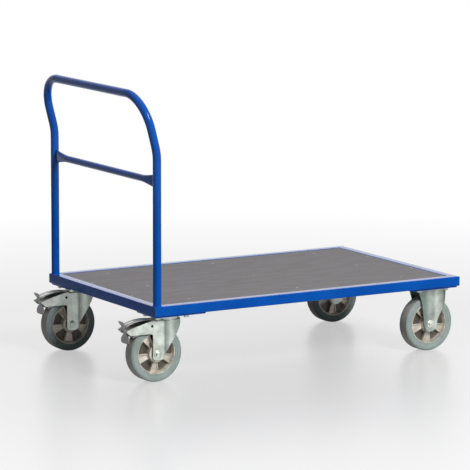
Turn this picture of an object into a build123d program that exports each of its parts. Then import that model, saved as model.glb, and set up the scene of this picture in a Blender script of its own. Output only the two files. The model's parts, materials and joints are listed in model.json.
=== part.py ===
"""A flat platform cart: a welded tube frame with an inset plywood deck, a bent tube push handle
fixed on the rear corners, two total-lock swivel castors under the handle and two fixed castors
at the front.

Frame of the model: X runs forwards along the platform, Y to the left, Z up. The origin is on the
floor, under the middle of the bounding box.
"""

import os
from math import asin, cos, degrees, radians, sin, sqrt, tan

from build123d import *

os.makedirs("parts", exist_ok=True)

# ------------------------------------------------------------------ driving dimensions (mm, deg)

# Wheels
wheel_radius = 100
tyre_width = 50
tyre_shoulder = 4            # rounding between tread and sidewall
tyre_crown = 0.5             # how far the tread falls from its middle to its shoulders
tyre_flat = 5                # half width of the flat middle of the tread
tyre_band_inner = 83         # radius where the raised outer sidewall band starts
tyre_band_height = 1.5       # how far that band stands out from the inner sidewall
tyre_lip_gap = 0.5           # between the tyre and the rim of a lip
rim_lip_radius = 74
rim_lip_width = 3
rim_lip_height = 4           # how far a lip stands above the tyre seat
rim_barrel_thickness = 5
rim_width = 46
web_thickness = 9
spoke_count = 5
spoke_half_angle = 13        # from a spoke's centre line to its edge ribs
spoke_first_angle = -94
rib_thickness = 3.5
rib_width = 30               # of each edge rib, across the wheel
hub_radius = 30
hub_width = 54
bearing_outer_radius = 21
bearing_inner_radius = 10
bearing_width = 12
bearing_shoulder = 3         # step in the hub that each bearing seats against
running_clearance = 0.06     # radial, for what turns on a pin

# Axles
axle_radius = 6
axle_hole_clearance = 0.1
axle_head_across_flats = 18
axle_head_height = 8
axle_flange_radius = 14
axle_flange_thickness = 2.5
axle_nut_height = 10
axle_thread_end = 2.5        # thread that stands out of the nut

# What both kinds of castor share
fork_gap = 60                # between the inner faces of the two legs
sheet_thickness = 4          # of the pressed steel forks and brackets
castor_plate_length = 140
castor_plate_width = 110
castor_plate_thickness = 4
castor_plate_corner = 12
castor_hole_pitch_x = 114
castor_hole_pitch_y = 88
castor_hole_clearance = 0.5
crown_gap = 15               # from the top of the tyre to the underside of the fork crown
head_height = 12             # swivel head, between the crown and the castor plate

# Swivel castors
trail = 50                   # from the swivel axis back to the axle
leg_behind_axle = 19.5
leg_ahead_of_axle = 20
leg_below_axle = 21
hood_foot_ahead = 30         # from the axle to where the hood's front edge starts
hood_foot_below = 1.5
hood_edge_middle = (60.5, 41)  # a point half way up that edge, ahead of the axle and above it
leg_corner = 11
hood_start = 27.5            # from the axle forwards to where the hood leaves the flat leg
hood_side_radius = 250
hood_side_turn = 12.3
hood_edge_drop = 6           # lowest point of the hood's front edge, below the crown top
crown_behind_axis = 62
arm_arc_start = 55           # behind the swivel axis, where the arms' top edge starts to fall
arm_length = 124             # from the axle back to the end of the brake arms
arm_tip_cut = 17             # how far the arm's underside stops short of its end
arm_depth = 45               # crown top down to the underside of the arms
arm_drop = 30                # how far the arm's top edge falls along its arc
arm_corner = 11
race_radius = 33
ball_radius = 3.2
race_half_width = 6          # of the upper race
lower_race_half_width = 4
race_height = 2.5            # material over the balls
race_skirt = 3
race_gap = 0.4
kingpin_radius = 8
kingpin_head_radius = 12
kingpin_head_height = 7
kingpin_chamfer = 2

# Brake
pedal_angle = 8              # travel from released to pressed
pedal_sheet = 3
pedal_side_gap = 1.6         # between the pedal's cheeks and the fork arms
pivot_behind_axle = 23
pivot_below_crown = 18
pivot_radius = 3.5
pivot_head_radius = 5.5
pivot_head_height = 1.2
pivot_bore_radius = 2
cheek_height = 17
pedal_gap = 10               # from the back of the tyre to the pedal's lower pad
pad_height = 33
pad_below_crown = 43
pad_lean = 2                 # how far the foot of the pad leans back
pad_half_width = 23
pad_shoulder = 16            # from the foot of the pad up to where it narrows
stem_half_width = 8
stem_start = 5               # above the top of the pad
stem_lean = 11               # from the top of the pad back to the root of the release tab
stem_height = 29
release_tab_height = 16
release_tab_lean = 7
tab_half_width = 18
tab_shoulder = 7             # below the top of the tab, where it reaches its full width
pedal_bend = 5
pedal_corner = 7
tab_corner = 2.5
pedal_bridge_level = 8       # from the top of the pad up to the plate that joins the cheeks
pedal_bridge_length = 15
cheek_crest = (-122, 207)
cheek_tail = (-158, 192)
cheek_toe = (-136, 165)
shoe_direction = 140         # from the axle to the middle of the brake shoe
shoe_span = 15
shoe_thickness = 6
shoe_rest_gap = 0.8          # left between the pressed shoe and the tread
leaf_thickness = 1.5
leaf_width = 40
leaf_slot_width = 14
leaf_slot_length = 34
leaf_front = 44              # from the swivel axis back to the leaf's front edge
leaf_tail_gap = 3            # between the leaf's end and the pedal's stem
leaf_crest_x = 116           # behind the swivel axis
leaf_rise = 0.6              # of the leaf above the crown, at its crest

# Fixed castors
bracket_rear = 53            # plain edge of a leg, from the axle, at the underside of the plate
bracket_waist = 36           # the same, at the waist
bracket_panel_front = 26     # where a leg's flat panel ends and its side flange starts
bracket_flange_length = 44
bracket_flange_turn = 16
bracket_flange_waist = 57    # front edge of the flange at the waist
bracket_waist_height = 72    # above the axle
bracket_foot_front = 30
bracket_foot_height = 15
bracket_end_radius = 28      # rounded lower end of a leg
bracket_flare = 14           # radius between a leg and the plate
bracket_flare_reach = 44     # ahead of the axle and behind it
bracket_flare_overlap = 2    # of the flare into the leg

# Platform
frame_length = 1270
frame_width = 800
rail_size = 35
rail_wall = 2
rail_corner = 3
board_thickness = 12
board_recess = 1
board_gap = 1
ledge_size = 20
ledge_thickness = 3
ledge_gap = 2                # between the ledges at the corners of the frame
cross_member_width = 40
cross_member_wall = 2
cross_member_setback = 190   # from each end of the frame to the cross member's middle
mount_plate_length = 200
mount_plate_width = 140
mount_plate_thickness = 5
mount_plate_inset = 6
mount_plate_corner = 4
cross_member_gap = 2          # from the underside of the frame up to the cross members
swivel_setback = 85.5        # from the rear end of the frame to the swivel axes
fixed_setback = 95.5         # from the front end of the frame to the fixed axles
castor_side_inset = 77.5     # from the side of the frame to the middle of a wheel

# Fasteners
castor_screw_radius = 5
castor_screw_across_flats = 16
castor_screw_head = 6
washer_radius = 9
washer_thickness = 1.6
thread_clearance = 0.05
deck_screw_radius = 2.5
deck_screw_head_radius = 5
deck_screw_side_inset = 100   # from the side of the frame

# Push handle
handle_radius = 15
handle_wall = 2
lean_corner_height = 531     # above the deck, where the posts start to lean back
lean_angle = 14.4
lean_bend_radius = 208
grip_height = 731            # above the deck, to the middle of the grip
grip_bend_radius = 123
weld_size = 2.5
weld_crown = 0.7             # how full the bead is, from 0.5 for a flat one to 1
crossbar_height = 435        # above the deck
crossbar_radius = 12.5
crossbar_wall = 1.5
crossbar_flat_half_height = 24
crossbar_flat_half_thickness = 5
crossbar_flare_length = 85   # over which each end changes from round to flat
crossbar_blend = 0.45        # how far along the flare the bar is still nearly round
blend_height = 1.08

# ------------------------------------------------------------------ levels

axle_height = wheel_radius
crown_top = 2 * wheel_radius + crown_gap + sheet_thickness
castor_top = crown_top + head_height + castor_plate_thickness
plate_underside = castor_top - castor_plate_thickness
frame_bottom = castor_top + mount_plate_thickness
deck_height = frame_bottom + rail_size
board_top = deck_height - board_recess
board_bottom = board_top - board_thickness

leg_inner = fork_gap / 2
leg_outer = leg_inner + sheet_thickness


def keep(shape, label, place=None):
    """Put a finished piece in its place, name it and write it."""
    piece = shape if place is None else shape.moved(place)
    piece.label = label
    export_step(piece, f"parts/{label}.step")


# ------------------------------------------------------------------ wheels, each about its own axle

tyre_seat = rim_lip_radius - rim_lip_height
barrel_inner = tyre_seat - rim_barrel_thickness
lip_centre = (rim_width - rim_lip_width) / 2
rib_centre = (hub_radius + barrel_inner) / 2

with BuildPart() as rim_shape:
    with BuildSketch() as rim_section:
        with Locations(((tyre_seat + barrel_inner) / 2, 0)):
            Rectangle(rim_barrel_thickness, rim_width)
        with Locations([((rim_lip_radius + barrel_inner) / 2, y) for y in (-lip_centre, lip_centre)]):
            Rectangle(rim_lip_radius - barrel_inner, rim_lip_width)
        with Locations(((tyre_seat + bearing_outer_radius) / 2, 0)):
            Rectangle(tyre_seat - bearing_outer_radius, web_thickness)
        with Locations(((hub_radius + bearing_outer_radius) / 2, 0)):
            Rectangle(hub_radius - bearing_outer_radius, hub_width)
        with Locations((bearing_outer_radius - bearing_shoulder / 2, 0)):
            Rectangle(bearing_shoulder, hub_width - 2 * bearing_width)
    revolve(axis=Axis.Y)
    rib_reach = barrel_inner - hub_radius + rib_thickness
    with BuildSketch(Plane.XZ):
        for edge in (-spoke_half_angle, spoke_half_angle):
            with PolarLocations(rib_centre, spoke_count, spoke_first_angle + edge):
                Rectangle(rib_reach, rib_thickness)
    extrude(amount=rib_width / 2, both=True)

tyre_half = tyre_width / 2
band_floor = tyre_half - tyre_band_height
lip_seat = rim_width / 2 - rim_lip_width
lip_clear = rim_lip_radius + tyre_lip_gap
shoulder_radius = wheel_radius - tyre_crown
shoulder_inset = tyre_shoulder * (1 - sqrt(0.5))
with BuildPart() as tyre_shape:
    with BuildSketch():
        with BuildLine():
            Polyline(
                (shoulder_radius - tyre_shoulder, tyre_half),
                (tyre_band_inner + tyre_band_height, tyre_half),
                (tyre_band_inner, band_floor),
                (lip_clear, band_floor),
                (lip_clear, rim_width / 2),
                (rim_lip_radius, lip_seat),
                (tyre_seat, lip_seat),
                (tyre_seat, 0),
                (wheel_radius, 0),
                (wheel_radius, tyre_flat),
                (shoulder_radius, tyre_half - tyre_shoulder),
            )
            ThreePointArc(
                (shoulder_radius - tyre_shoulder, tyre_half),
                (shoulder_radius - shoulder_inset, tyre_half - shoulder_inset),
                (shoulder_radius, tyre_half - tyre_shoulder),
            )
        make_face()
        mirror(about=Plane.XZ)
    revolve(axis=Axis.Y)

bearing_y = (hub_width - bearing_width) / 2
with BuildPart() as bearings_shape:
    with BuildSketch():
        for y in (-bearing_y, bearing_y):
            with Locations(((bearing_outer_radius + bearing_inner_radius) / 2, y)):
                Rectangle(bearing_outer_radius - bearing_inner_radius, bearing_width)
    revolve(axis=Axis.Y)

with BuildPart() as sleeve_shape:
    with BuildSketch(Plane.XZ):
        Circle(bearing_inner_radius - running_clearance)
        Circle(axle_radius + axle_hole_clearance, mode=Mode.SUBTRACT)
    extrude(amount=fork_gap / 2, both=True)

with BuildPart() as axle_bolt_shape:
    with BuildSketch(Plane.XZ.offset(leg_outer)):
        Circle(axle_flange_radius)
    extrude(amount=axle_flange_thickness)
    with BuildSketch(Plane.XZ.offset(leg_outer + axle_flange_thickness)):
        RegularPolygon(axle_head_across_flats / 2, 6, major_radius=False)
    extrude(amount=axle_head_height - axle_flange_thickness)
    chamfer(axle_bolt_shape.faces().sort_by(Axis.Y)[0].edges(), 1)
    with BuildSketch(Plane.XZ.offset(leg_outer)):
        Circle(axle_radius)
    extrude(amount=-2 * leg_outer - axle_nut_height - axle_thread_end)

with BuildPart() as axle_nut_shape:
    with BuildSketch(Plane.XZ.offset(-leg_outer)):
        RegularPolygon(axle_head_across_flats / 2, 6, major_radius=False)
        Circle(axle_radius, mode=Mode.SUBTRACT)
    extrude(amount=-axle_nut_height)

# ------------------------------------------------------------------ castor plate

with BuildPart() as castor_plate:
    with BuildSketch(Plane.XY.offset(plate_underside)):
        RectangleRounded(castor_plate_length, castor_plate_width, castor_plate_corner)
        with GridLocations(castor_hole_pitch_x, castor_hole_pitch_y, 2, 2):
            Circle(castor_screw_radius + castor_hole_clearance, mode=Mode.SUBTRACT)
    extrude(amount=castor_plate_thickness)

# ------------------------------------------------------------------ swivel castor, about its axis

axle_x = -trail
arm_end_x = axle_x - arm_length
arm_bottom = crown_top - arm_depth
ball_z = plate_underside - race_height - race_gap - ball_radius
race_roof = ball_z + ball_radius + race_gap
race_floor = ball_z - ball_radius - race_gap
skirt_inner = race_radius + lower_race_half_width + race_gap
skirt_foot = crown_top + 2 * race_gap

with BuildPart() as top_plate_shape:
    add(castor_plate.part)
    with BuildSketch(Plane.XZ):
        with BuildLine():
            Polyline(
                (race_radius - race_half_width, plate_underside),
                (race_radius - race_half_width, race_roof),
                (skirt_inner, race_roof),
                (skirt_inner, skirt_foot),
                (skirt_inner + race_skirt, skirt_foot),
                (skirt_inner + race_skirt, race_roof),
                (skirt_inner + 2 * race_skirt, plate_underside),
                close=True,
            )
        make_face()
    revolve(axis=Axis.Z)
    with Locations((0, 0, castor_top)):
        Hole(kingpin_radius, depth=2 * castor_plate_thickness)

with BuildPart() as kingpin_shape:
    head_top = crown_top - sheet_thickness - race_gap
    with BuildSketch(Plane.XY.offset(head_top - kingpin_head_height)):
        Circle(kingpin_head_radius)
    extrude(amount=kingpin_head_height)
    chamfer(kingpin_shape.faces().sort_by(Axis.Z)[0].edges(), kingpin_chamfer)
    with BuildSketch(Plane.XY.offset(head_top)):
        Circle(kingpin_radius)
    extrude(amount=castor_top - head_top)

with BuildPart() as ball_ring_shape:
    with BuildSketch(Plane.XZ):
        with Locations((race_radius, ball_z)):
            Circle(ball_radius)
    revolve(axis=Axis.Z)

hood_x = axle_x + hood_start
hood_turn = radians(hood_side_turn)
hood_tip_reach = leg_outer - hood_side_radius * (1 - cos(hood_turn))
hood_tip_radius = hood_tip_reach / cos(hood_turn)
hood_nose = hood_x + hood_side_radius * sin(hood_turn) + hood_tip_radius * (1 - sin(hood_turn))


def fork_plan(rear, inset, mode=Mode.ADD):
    """The fork seen from above: straight sides that curve in to a rounded nose in front."""
    edge = leg_outer - inset
    with BuildLine() as outline:
        straight = Line((rear, edge), (hood_x, edge))
        shoulder = JernArc(straight @ 1, (1, 0), hood_side_radius - inset, -hood_side_turn)
        JernArc(shoulder @ 1, shoulder % 1, hood_tip_radius - inset, hood_side_turn - 90)
        mirror(about=Plane.XZ)
        Line((rear, edge), (rear, -edge))
    make_face(outline.edges(), mode=mode)


leg_rear = axle_x - leg_behind_axle
leg_front = axle_x + leg_ahead_of_axle
leg_bottom = axle_height - leg_below_axle
arm_run = -arm_arc_start - arm_end_x
arm_arc_radius = (arm_run**2 + arm_drop**2) / (2 * arm_drop)
pivot_x = axle_x - pivot_behind_axle
pivot_z = crown_top - pivot_below_crown

with BuildPart() as fork_shape:
    with BuildSketch(Plane.XY.offset(leg_bottom)):
        fork_plan(arm_end_x, 0)
        fork_plan(arm_end_x - sheet_thickness, sheet_thickness, mode=Mode.SUBTRACT)
    extrude(amount=crown_top - leg_bottom)
    with BuildSketch(Plane.XZ) as side_view:
        with BuildLine():
            arm_turn = degrees(asin(arm_run / arm_arc_radius))
            arm_top = JernArc((-arm_arc_start, crown_top), (-1, 0), arm_arc_radius, arm_turn)
            hood_foot = (axle_x + hood_foot_ahead, axle_height - hood_foot_below)
            hood_end = (hood_nose + 1, crown_top - hood_edge_drop)
            Polyline(
                arm_top @ 1,
                (arm_end_x + arm_tip_cut, arm_bottom),
                (leg_rear, arm_bottom),
                (leg_rear, leg_bottom),
                (leg_front, leg_bottom),
                hood_foot,
            )
            edge_ahead, edge_above = hood_edge_middle
            ThreePointArc(hood_foot, (axle_x + edge_ahead, axle_height + edge_above), hood_end)
            Polyline(hood_end, (hood_nose + 1, crown_top), arm_top @ 0)
        make_face()
        for corner, radius in (
            ((leg_rear, arm_bottom), arm_corner),
            ((leg_rear, leg_bottom), leg_corner),
            ((leg_front, leg_bottom), leg_corner),
        ):
            fillet(side_view.vertices().sort_by_distance(corner)[0], radius)
    extrude(amount=leg_outer + 1, both=True, mode=Mode.INTERSECT)
    with BuildSketch(Plane.XY.offset(crown_top)):
        fork_plan(-crown_behind_axis, 0)
    extrude(amount=-sheet_thickness)
    with BuildSketch(Plane.XY.offset(crown_top)):
        Circle(race_radius + lower_race_half_width)
        Circle(race_radius - lower_race_half_width, mode=Mode.SUBTRACT)
    extrude(amount=race_floor - crown_top)
    with BuildSketch(Plane.XY.offset(crown_top)):
        Circle(kingpin_radius + running_clearance)
    extrude(amount=-sheet_thickness, mode=Mode.SUBTRACT)
    with BuildSketch(Plane.XZ):
        with Locations((axle_x, axle_height)):
            Circle(axle_radius + axle_hole_clearance)
        with Locations((pivot_x, pivot_z)):
            Circle(pivot_radius)
    extrude(amount=leg_outer + 1, both=True, mode=Mode.SUBTRACT)

# ------------------------------------------------------------------ brake of a swivel castor

pedal_half = leg_inner - pedal_side_gap
cheek_inner = pedal_half - pedal_sheet
pad_x = axle_x - wheel_radius - pedal_gap
pad_top = crown_top - pad_below_crown
pad_foot = pad_top - pad_height
tab_x = pad_x - stem_lean
tab_root = pad_top + stem_height
tab_top = tab_root + release_tab_height
bridge_z = pad_top + pedal_bridge_level
bridge_x = pad_x - stem_lean * pedal_bridge_level / stem_height
with BuildPart() as pedal_shape:
    with BuildSketch(Plane.XZ):
        with BuildLine():
            FilletPolyline(
                (pad_x - pad_lean, pad_foot),
                (pad_x, pad_top),
                (tab_x, tab_root),
                (tab_x - release_tab_lean, tab_top),
                radius=pedal_bend,
            )
        trace(line_width=pedal_sheet)
    extrude(amount=pedal_half, both=True)
    with BuildSketch(Plane.YZ) as rear_view:
        with BuildLine():
            Polyline(
                (0, pad_foot - pedal_sheet),
                (pad_half_width, pad_foot - pedal_sheet),
                (pad_half_width, pad_foot + pad_shoulder),
                (stem_half_width, pad_top + stem_start),
                (stem_half_width, tab_root),
                (tab_half_width, tab_top - tab_shoulder),
                (tab_half_width, tab_top + pedal_sheet),
                (0, tab_top + pedal_sheet),
            )
            mirror(about=Plane.YZ)
        make_face()
        corners = rear_view.vertices().group_by(Axis.Y)
        fillet(corners[0], pedal_corner)
        fillet(rear_view.vertices().group_by(Axis.Y)[-1], tab_corner)
    extrude(amount=-2 * pad_x, both=True, mode=Mode.INTERSECT)
    with BuildSketch(Plane.XY.offset(bridge_z)):
        with Locations((bridge_x + pedal_bridge_length / 2, 0)):
            Rectangle(pedal_bridge_length, 2 * pedal_half)
    extrude(amount=pedal_sheet)
    with BuildSketch(Plane.XZ.offset(cheek_inner)):
        with BuildLine():
            Polyline(
                (pivot_x, pivot_z + cheek_height / 2),
                cheek_crest,
                cheek_tail,
                (bridge_x, bridge_z),
                cheek_toe,
                (pivot_x, pivot_z - cheek_height / 2),
                close=True,
            )
        make_face()
        with Locations((pivot_x, pivot_z)):
            Circle(cheek_height / 2)
            Circle(pivot_radius + running_clearance, mode=Mode.SUBTRACT)
    extrude(amount=pedal_sheet)
    mirror(about=Plane.XZ)

pressed_radius = wheel_radius + shoe_rest_gap
with BuildPart() as shoe_shape:
    with BuildSketch(Plane.XZ):
        with BuildLine():
            axle = (axle_x, axle_height)
            first = shoe_direction - shoe_span / 2
            inner_arc = CenterArc(axle, pressed_radius, first, shoe_span)
            outer_arc = CenterArc(axle, pressed_radius + shoe_thickness, first, shoe_span)
            Line(inner_arc @ 0, outer_arc @ 0)
            Line(inner_arc @ 1, outer_arc @ 1)
        make_face()
    extrude(amount=cheek_inner, both=True)
pivot_axis = Axis((pivot_x, 0, pivot_z), (0, -1, 0))
released_shoe = shoe_shape.part.rotate(pivot_axis, -pedal_angle)

with BuildPart() as pivots_shape:
    with BuildSketch(Plane.XZ.offset(cheek_inner)):
        with Locations((pivot_x, pivot_z)):
            Circle(pivot_radius)
    extrude(amount=leg_outer - cheek_inner)
    with BuildSketch(Plane.XZ.offset(leg_outer)):
        with Locations((pivot_x, pivot_z)):
            Circle(pivot_head_radius)
    extrude(amount=pivot_head_height)
    with BuildSketch(Plane.XZ.offset(leg_outer + pivot_head_height)):
        with Locations((pivot_x, pivot_z)):
            Circle(pivot_bore_radius)
    extrude(amount=-sheet_thickness, mode=Mode.SUBTRACT)
    mirror(about=Plane.XZ)

leaf_level = crown_top + leaf_thickness / 2
leaf_end_x = tab_x + pedal_sheet / 2 + leaf_tail_gap
with BuildPart() as leaf_shape:
    with BuildSketch(Plane.XZ):
        with BuildLine():
            seat = Line((-leaf_front, leaf_level), (-crown_behind_axis, leaf_level))
            ThreePointArc(seat @ 1, (-leaf_crest_x, leaf_level + leaf_rise), (leaf_end_x, tab_root))
        trace(line_width=leaf_thickness)
    extrude(amount=leaf_width / 2, both=True)
    with BuildSketch(Plane.XY.offset(arm_bottom)):
        with Locations((leaf_end_x, 0)):
            SlotCenterToCenter(2 * leaf_slot_length, leaf_slot_width)
    extrude(amount=plate_underside - arm_bottom, mode=Mode.SUBTRACT)

# ------------------------------------------------------------------ fixed castor, about its axle

waist_z = axle_height + bracket_waist_height
flange_radius = bracket_flange_length / sin(radians(bracket_flange_turn))
flange_front = bracket_panel_front + bracket_flange_length
with BuildPart() as bracket_leg:
    with BuildSketch(Plane.XY.offset(axle_height - bracket_end_radius)):
        with BuildLine():
            panel = Line((-bracket_rear, -leg_outer), (bracket_panel_front, -leg_outer))
            flange = JernArc(panel @ 1, (1, 0), flange_radius, bracket_flange_turn)
        with BuildLine():
            inner_panel = Line((-bracket_rear, -leg_inner), (bracket_panel_front, -leg_inner))
            inner_flange = JernArc(
                inner_panel @ 1, (1, 0), flange_radius - sheet_thickness, bracket_flange_turn
            )
            Line(panel @ 0, inner_panel @ 0)
            Line(flange @ 1, inner_flange @ 1)
        make_face()
    extrude(amount=plate_underside - axle_height + bracket_end_radius)
    with BuildSketch(Plane.XZ):
        with BuildLine():
            Polyline(
                (-bracket_end_radius, axle_height),
                (-bracket_waist, waist_z),
                (-bracket_rear, plate_underside),
                (flange_front, plate_underside),
                (bracket_flange_waist, waist_z),
                (bracket_foot_front, axle_height + bracket_foot_height),
                (bracket_end_radius, axle_height),
            )
            ThreePointArc(
                (bracket_end_radius, axle_height),
                (0, axle_height - bracket_end_radius),
                (-bracket_end_radius, axle_height),
            )
        make_face()
    extrude(amount=leg_outer, mode=Mode.INTERSECT)
    with BuildSketch(Plane.YZ.offset(-bracket_flare_reach)):
        flare_inner = bracket_flare_overlap - leg_outer
        with BuildLine():
            Polyline(
                (-leg_outer, plate_underside - bracket_flare),
                (flare_inner, plate_underside - bracket_flare),
                (flare_inner, plate_underside),
                (-leg_outer - bracket_flare, plate_underside),
            )
            RadiusArc(
                (-leg_outer - bracket_flare, plate_underside),
                (-leg_outer, plate_underside - bracket_flare),
                bracket_flare,
            )
        make_face()
    extrude(amount=2 * bracket_flare_reach)
with BuildPart() as bracket_shape:
    add(castor_plate.part)
    with PolarLocations(0, 2):
        add(bracket_leg.part)
    with BuildSketch(Plane.XZ):
        with Locations((0, axle_height)):
            Circle(axle_radius + axle_hole_clearance)
    extrude(amount=leg_outer + 1, both=True, mode=Mode.SUBTRACT)

# ------------------------------------------------------------------ places

rear_overhang = -pedal_shape.part.bounding_box().min.X - swivel_setback
front_overhang = wheel_radius - fixed_setback
rear_end = (rear_overhang - frame_length - front_overhang) / 2
front_end = rear_end + frame_length
side = frame_width / 2
castor_y = side - castor_side_inset
swivel_x = rear_end + swivel_setback
fixed_x = front_end - fixed_setback


def keep_wheel(name, axle):
    """Write a wheel and what it turns on, placed by the middle of its axle."""
    keep(rim_shape.part, f"{name}_rim", axle)
    keep(tyre_shape.part, f"{name}_tyre", axle)
    keep(bearings_shape.part, f"{name}_bearings", axle)
    keep(sleeve_shape.part, f"{name}_axle_sleeve", axle)
    keep(axle_bolt_shape.part, f"{name}_axle_bolt", axle)
    keep(axle_nut_shape.part, f"{name}_axle_nut", axle)


for name, y in (("left", castor_y), ("right", -castor_y)):
    swivel = Location((swivel_x, y, 0))
    keep(top_plate_shape.part, f"rear_{name}_top_plate", swivel)
    keep(kingpin_shape.part, f"rear_{name}_kingpin", swivel)
    keep(ball_ring_shape.part, f"rear_{name}_ball_ring", swivel)
    keep(fork_shape.part, f"rear_{name}_fork", swivel)
    keep(leaf_shape.part, f"rear_{name}_brake_leaf", swivel)
    keep(pedal_shape.part, f"rear_{name}_brake_pedal", swivel)
    keep(released_shoe, f"rear_{name}_brake_shoe", swivel)
    keep(pivots_shape.part, f"rear_{name}_pedal_rivets", swivel)
    keep_wheel(f"rear_{name}", Location((swivel_x + axle_x, y, axle_height)))

    keep(bracket_shape.part, f"front_{name}_bracket", Location((fixed_x, y, 0)))
    keep_wheel(f"front_{name}", Location((fixed_x, y, axle_height)))

# ------------------------------------------------------------------ platform frame


def mitred_rail(length):
    """A square tube along X, outer face towards -Y, its ends mitred at 45 degrees."""
    with BuildPart() as rail:
        with BuildSketch(Plane.YZ):
            RectangleRounded(rail_size, rail_size, rail_corner)
            bore = rail_size - 2 * rail_wall
            RectangleRounded(bore, bore, rail_corner - rail_wall, mode=Mode.SUBTRACT)
        extrude(amount=length / 2, both=True)
        for end in (-1, 1):
            corner = (end * length / 2, -rail_size / 2, 0)
            split(bisect_by=Plane(origin=corner, z_dir=(end, 1, 0)), keep=Keep.BOTTOM)
    return rail.part


rail_level = frame_bottom + rail_size / 2
rail_line = side - rail_size / 2
frame_middle = rear_end + frame_length / 2
long_rail = mitred_rail(frame_length)
end_rail = mitred_rail(frame_width)
keep(long_rail, "frame_rail_right", Location((frame_middle, -rail_line, rail_level)))
keep(long_rail, "frame_rail_left", Location((frame_middle, rail_line, rail_level), (0, 0, 180)))
keep(end_rail, "frame_rail_rear", Location((rear_end + rail_size / 2, 0, rail_level), (0, 0, -90)))
keep(end_rail, "frame_rail_front", Location((front_end - rail_size / 2, 0, rail_level), (0, 0, 90)))

cross_member_depth = board_bottom - frame_bottom - cross_member_gap
inner_length = frame_length - 2 * rail_size
inner_width = frame_width - 2 * rail_size
cross_member_x = [
    rear_end + cross_member_setback,
    frame_middle,
    front_end - cross_member_setback,
]

with BuildPart() as cross_members:
    with BuildSketch(Plane.XZ.offset(-inner_width / 2)):
        with Locations([(x, board_bottom - cross_member_depth / 2) for x in cross_member_x]):
            Rectangle(cross_member_width, cross_member_depth)
            Rectangle(
                cross_member_width - 2 * cross_member_wall,
                cross_member_depth - 2 * cross_member_wall,
                mode=Mode.SUBTRACT,
            )
    extrude(amount=inner_width)
keep(cross_members.part, "cross_members")


def ledge(length):
    """An angle under the board's edge, along X, its upright against a rail on the -Y side."""
    with BuildPart() as angle:
        with BuildSketch(Plane.YZ):
            with BuildLine():
                Polyline(
                    (0, 0),
                    (ledge_size, 0),
                    (ledge_size, -ledge_thickness),
                    (ledge_thickness, -ledge_thickness),
                    (ledge_thickness, -ledge_size),
                    (0, -ledge_size),
                    close=True,
                )
            make_face()
        extrude(amount=length / 2, both=True)
    return angle.part


bay_edges = [rear_end + rail_size + ledge_size + ledge_gap]
for x in cross_member_x:
    bay_edges += [x - cross_member_width / 2, x + cross_member_width / 2]
bay_edges.append(front_end - rail_size - ledge_size - ledge_gap)
bays = list(zip(bay_edges[0::2], bay_edges[1::2]))
end_ledge = ledge(inner_width)
ledge_places = [
    (end_ledge, Location((rear_end + rail_size, 0, board_bottom), (0, 0, -90))),
    (end_ledge, Location((front_end - rail_size, 0, board_bottom), (0, 0, 90))),
]
for start, stop in bays:
    bay_ledge = ledge(stop - start)
    middle = (start + stop) / 2
    ledge_places += [
        (bay_ledge, Location((middle, -inner_width / 2, board_bottom))),
        (bay_ledge, Location((middle, inner_width / 2, board_bottom), (0, 0, 180))),
    ]
with BuildPart() as deck_ledges:
    for shape, place in ledge_places:
        add(shape.moved(place))
keep(deck_ledges.part, "deck_ledges")

plate_centre_x = mount_plate_inset + mount_plate_length / 2
plate_y = side - mount_plate_inset - mount_plate_width / 2
hole_x = castor_hole_pitch_x / 2
hole_y = castor_hole_pitch_y / 2
castor_centres = [(x, y) for x in (swivel_x, fixed_x) for y in (-castor_y, castor_y)]
castor_holes = [
    (x + dx, y + dy)
    for x, y in castor_centres
    for dx in (-hole_x, hole_x)
    for dy in (-hole_y, hole_y)
]
with BuildPart() as castor_mounting_plates:
    with BuildSketch(Plane.XY.offset(castor_top)):
        plate_x = (rear_end + plate_centre_x, front_end - plate_centre_x)
        with Locations([(x, y) for x in plate_x for y in (-plate_y, plate_y)]):
            RectangleRounded(mount_plate_length, mount_plate_width, mount_plate_corner)
        with Locations(castor_holes):
            Circle(castor_screw_radius + thread_clearance, mode=Mode.SUBTRACT)
    extrude(amount=mount_plate_thickness)
keep(castor_mounting_plates.part, "castor_mounting_plates")

with BuildPart() as castor_screw:
    with BuildSketch(Plane.XY.offset(plate_underside - washer_thickness)):
        RegularPolygon(castor_screw_across_flats / 2, 6, major_radius=False)
    extrude(amount=-castor_screw_head)
    with BuildSketch(Plane.XY.offset(plate_underside - washer_thickness)):
        Circle(castor_screw_radius)
    extrude(amount=frame_bottom - plate_underside + washer_thickness)
with BuildPart() as castor_screws:
    with Locations(castor_holes):
        add(castor_screw.part)
keep(castor_screws.part, "castor_screws")

with BuildPart() as castor_washers:
    with BuildSketch(Plane.XY.offset(plate_underside)):
        with Locations(castor_holes):
            Circle(washer_radius)
            Circle(castor_screw_radius + thread_clearance, mode=Mode.SUBTRACT)
    extrude(amount=-washer_thickness)
keep(castor_washers.part, "castor_washers")

# ------------------------------------------------------------------ deck

deck_screw_y = side - deck_screw_side_inset
end_screw_x = rail_size + ledge_size / 2
deck_screw_places = [(x, y) for x in cross_member_x for y in (-deck_screw_y, 0, deck_screw_y)]
deck_screw_places += [
    (x, y)
    for x in (rear_end + end_screw_x, front_end - end_screw_x)
    for y in (-deck_screw_y / 2, deck_screw_y / 2)
]

with BuildPart() as deck_board:
    with BuildSketch(Plane.XY.offset(board_bottom)):
        with Locations((frame_middle, 0)):
            Rectangle(inner_length - 2 * board_gap, inner_width - 2 * board_gap)
    extrude(amount=board_thickness)
    with Locations([(x, y, board_top) for x, y in deck_screw_places]):
        CounterSinkHole(
            deck_screw_radius + thread_clearance,
            deck_screw_head_radius + thread_clearance,
            depth=board_thickness,
        )
keep(deck_board.part, "deck_board")

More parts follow.
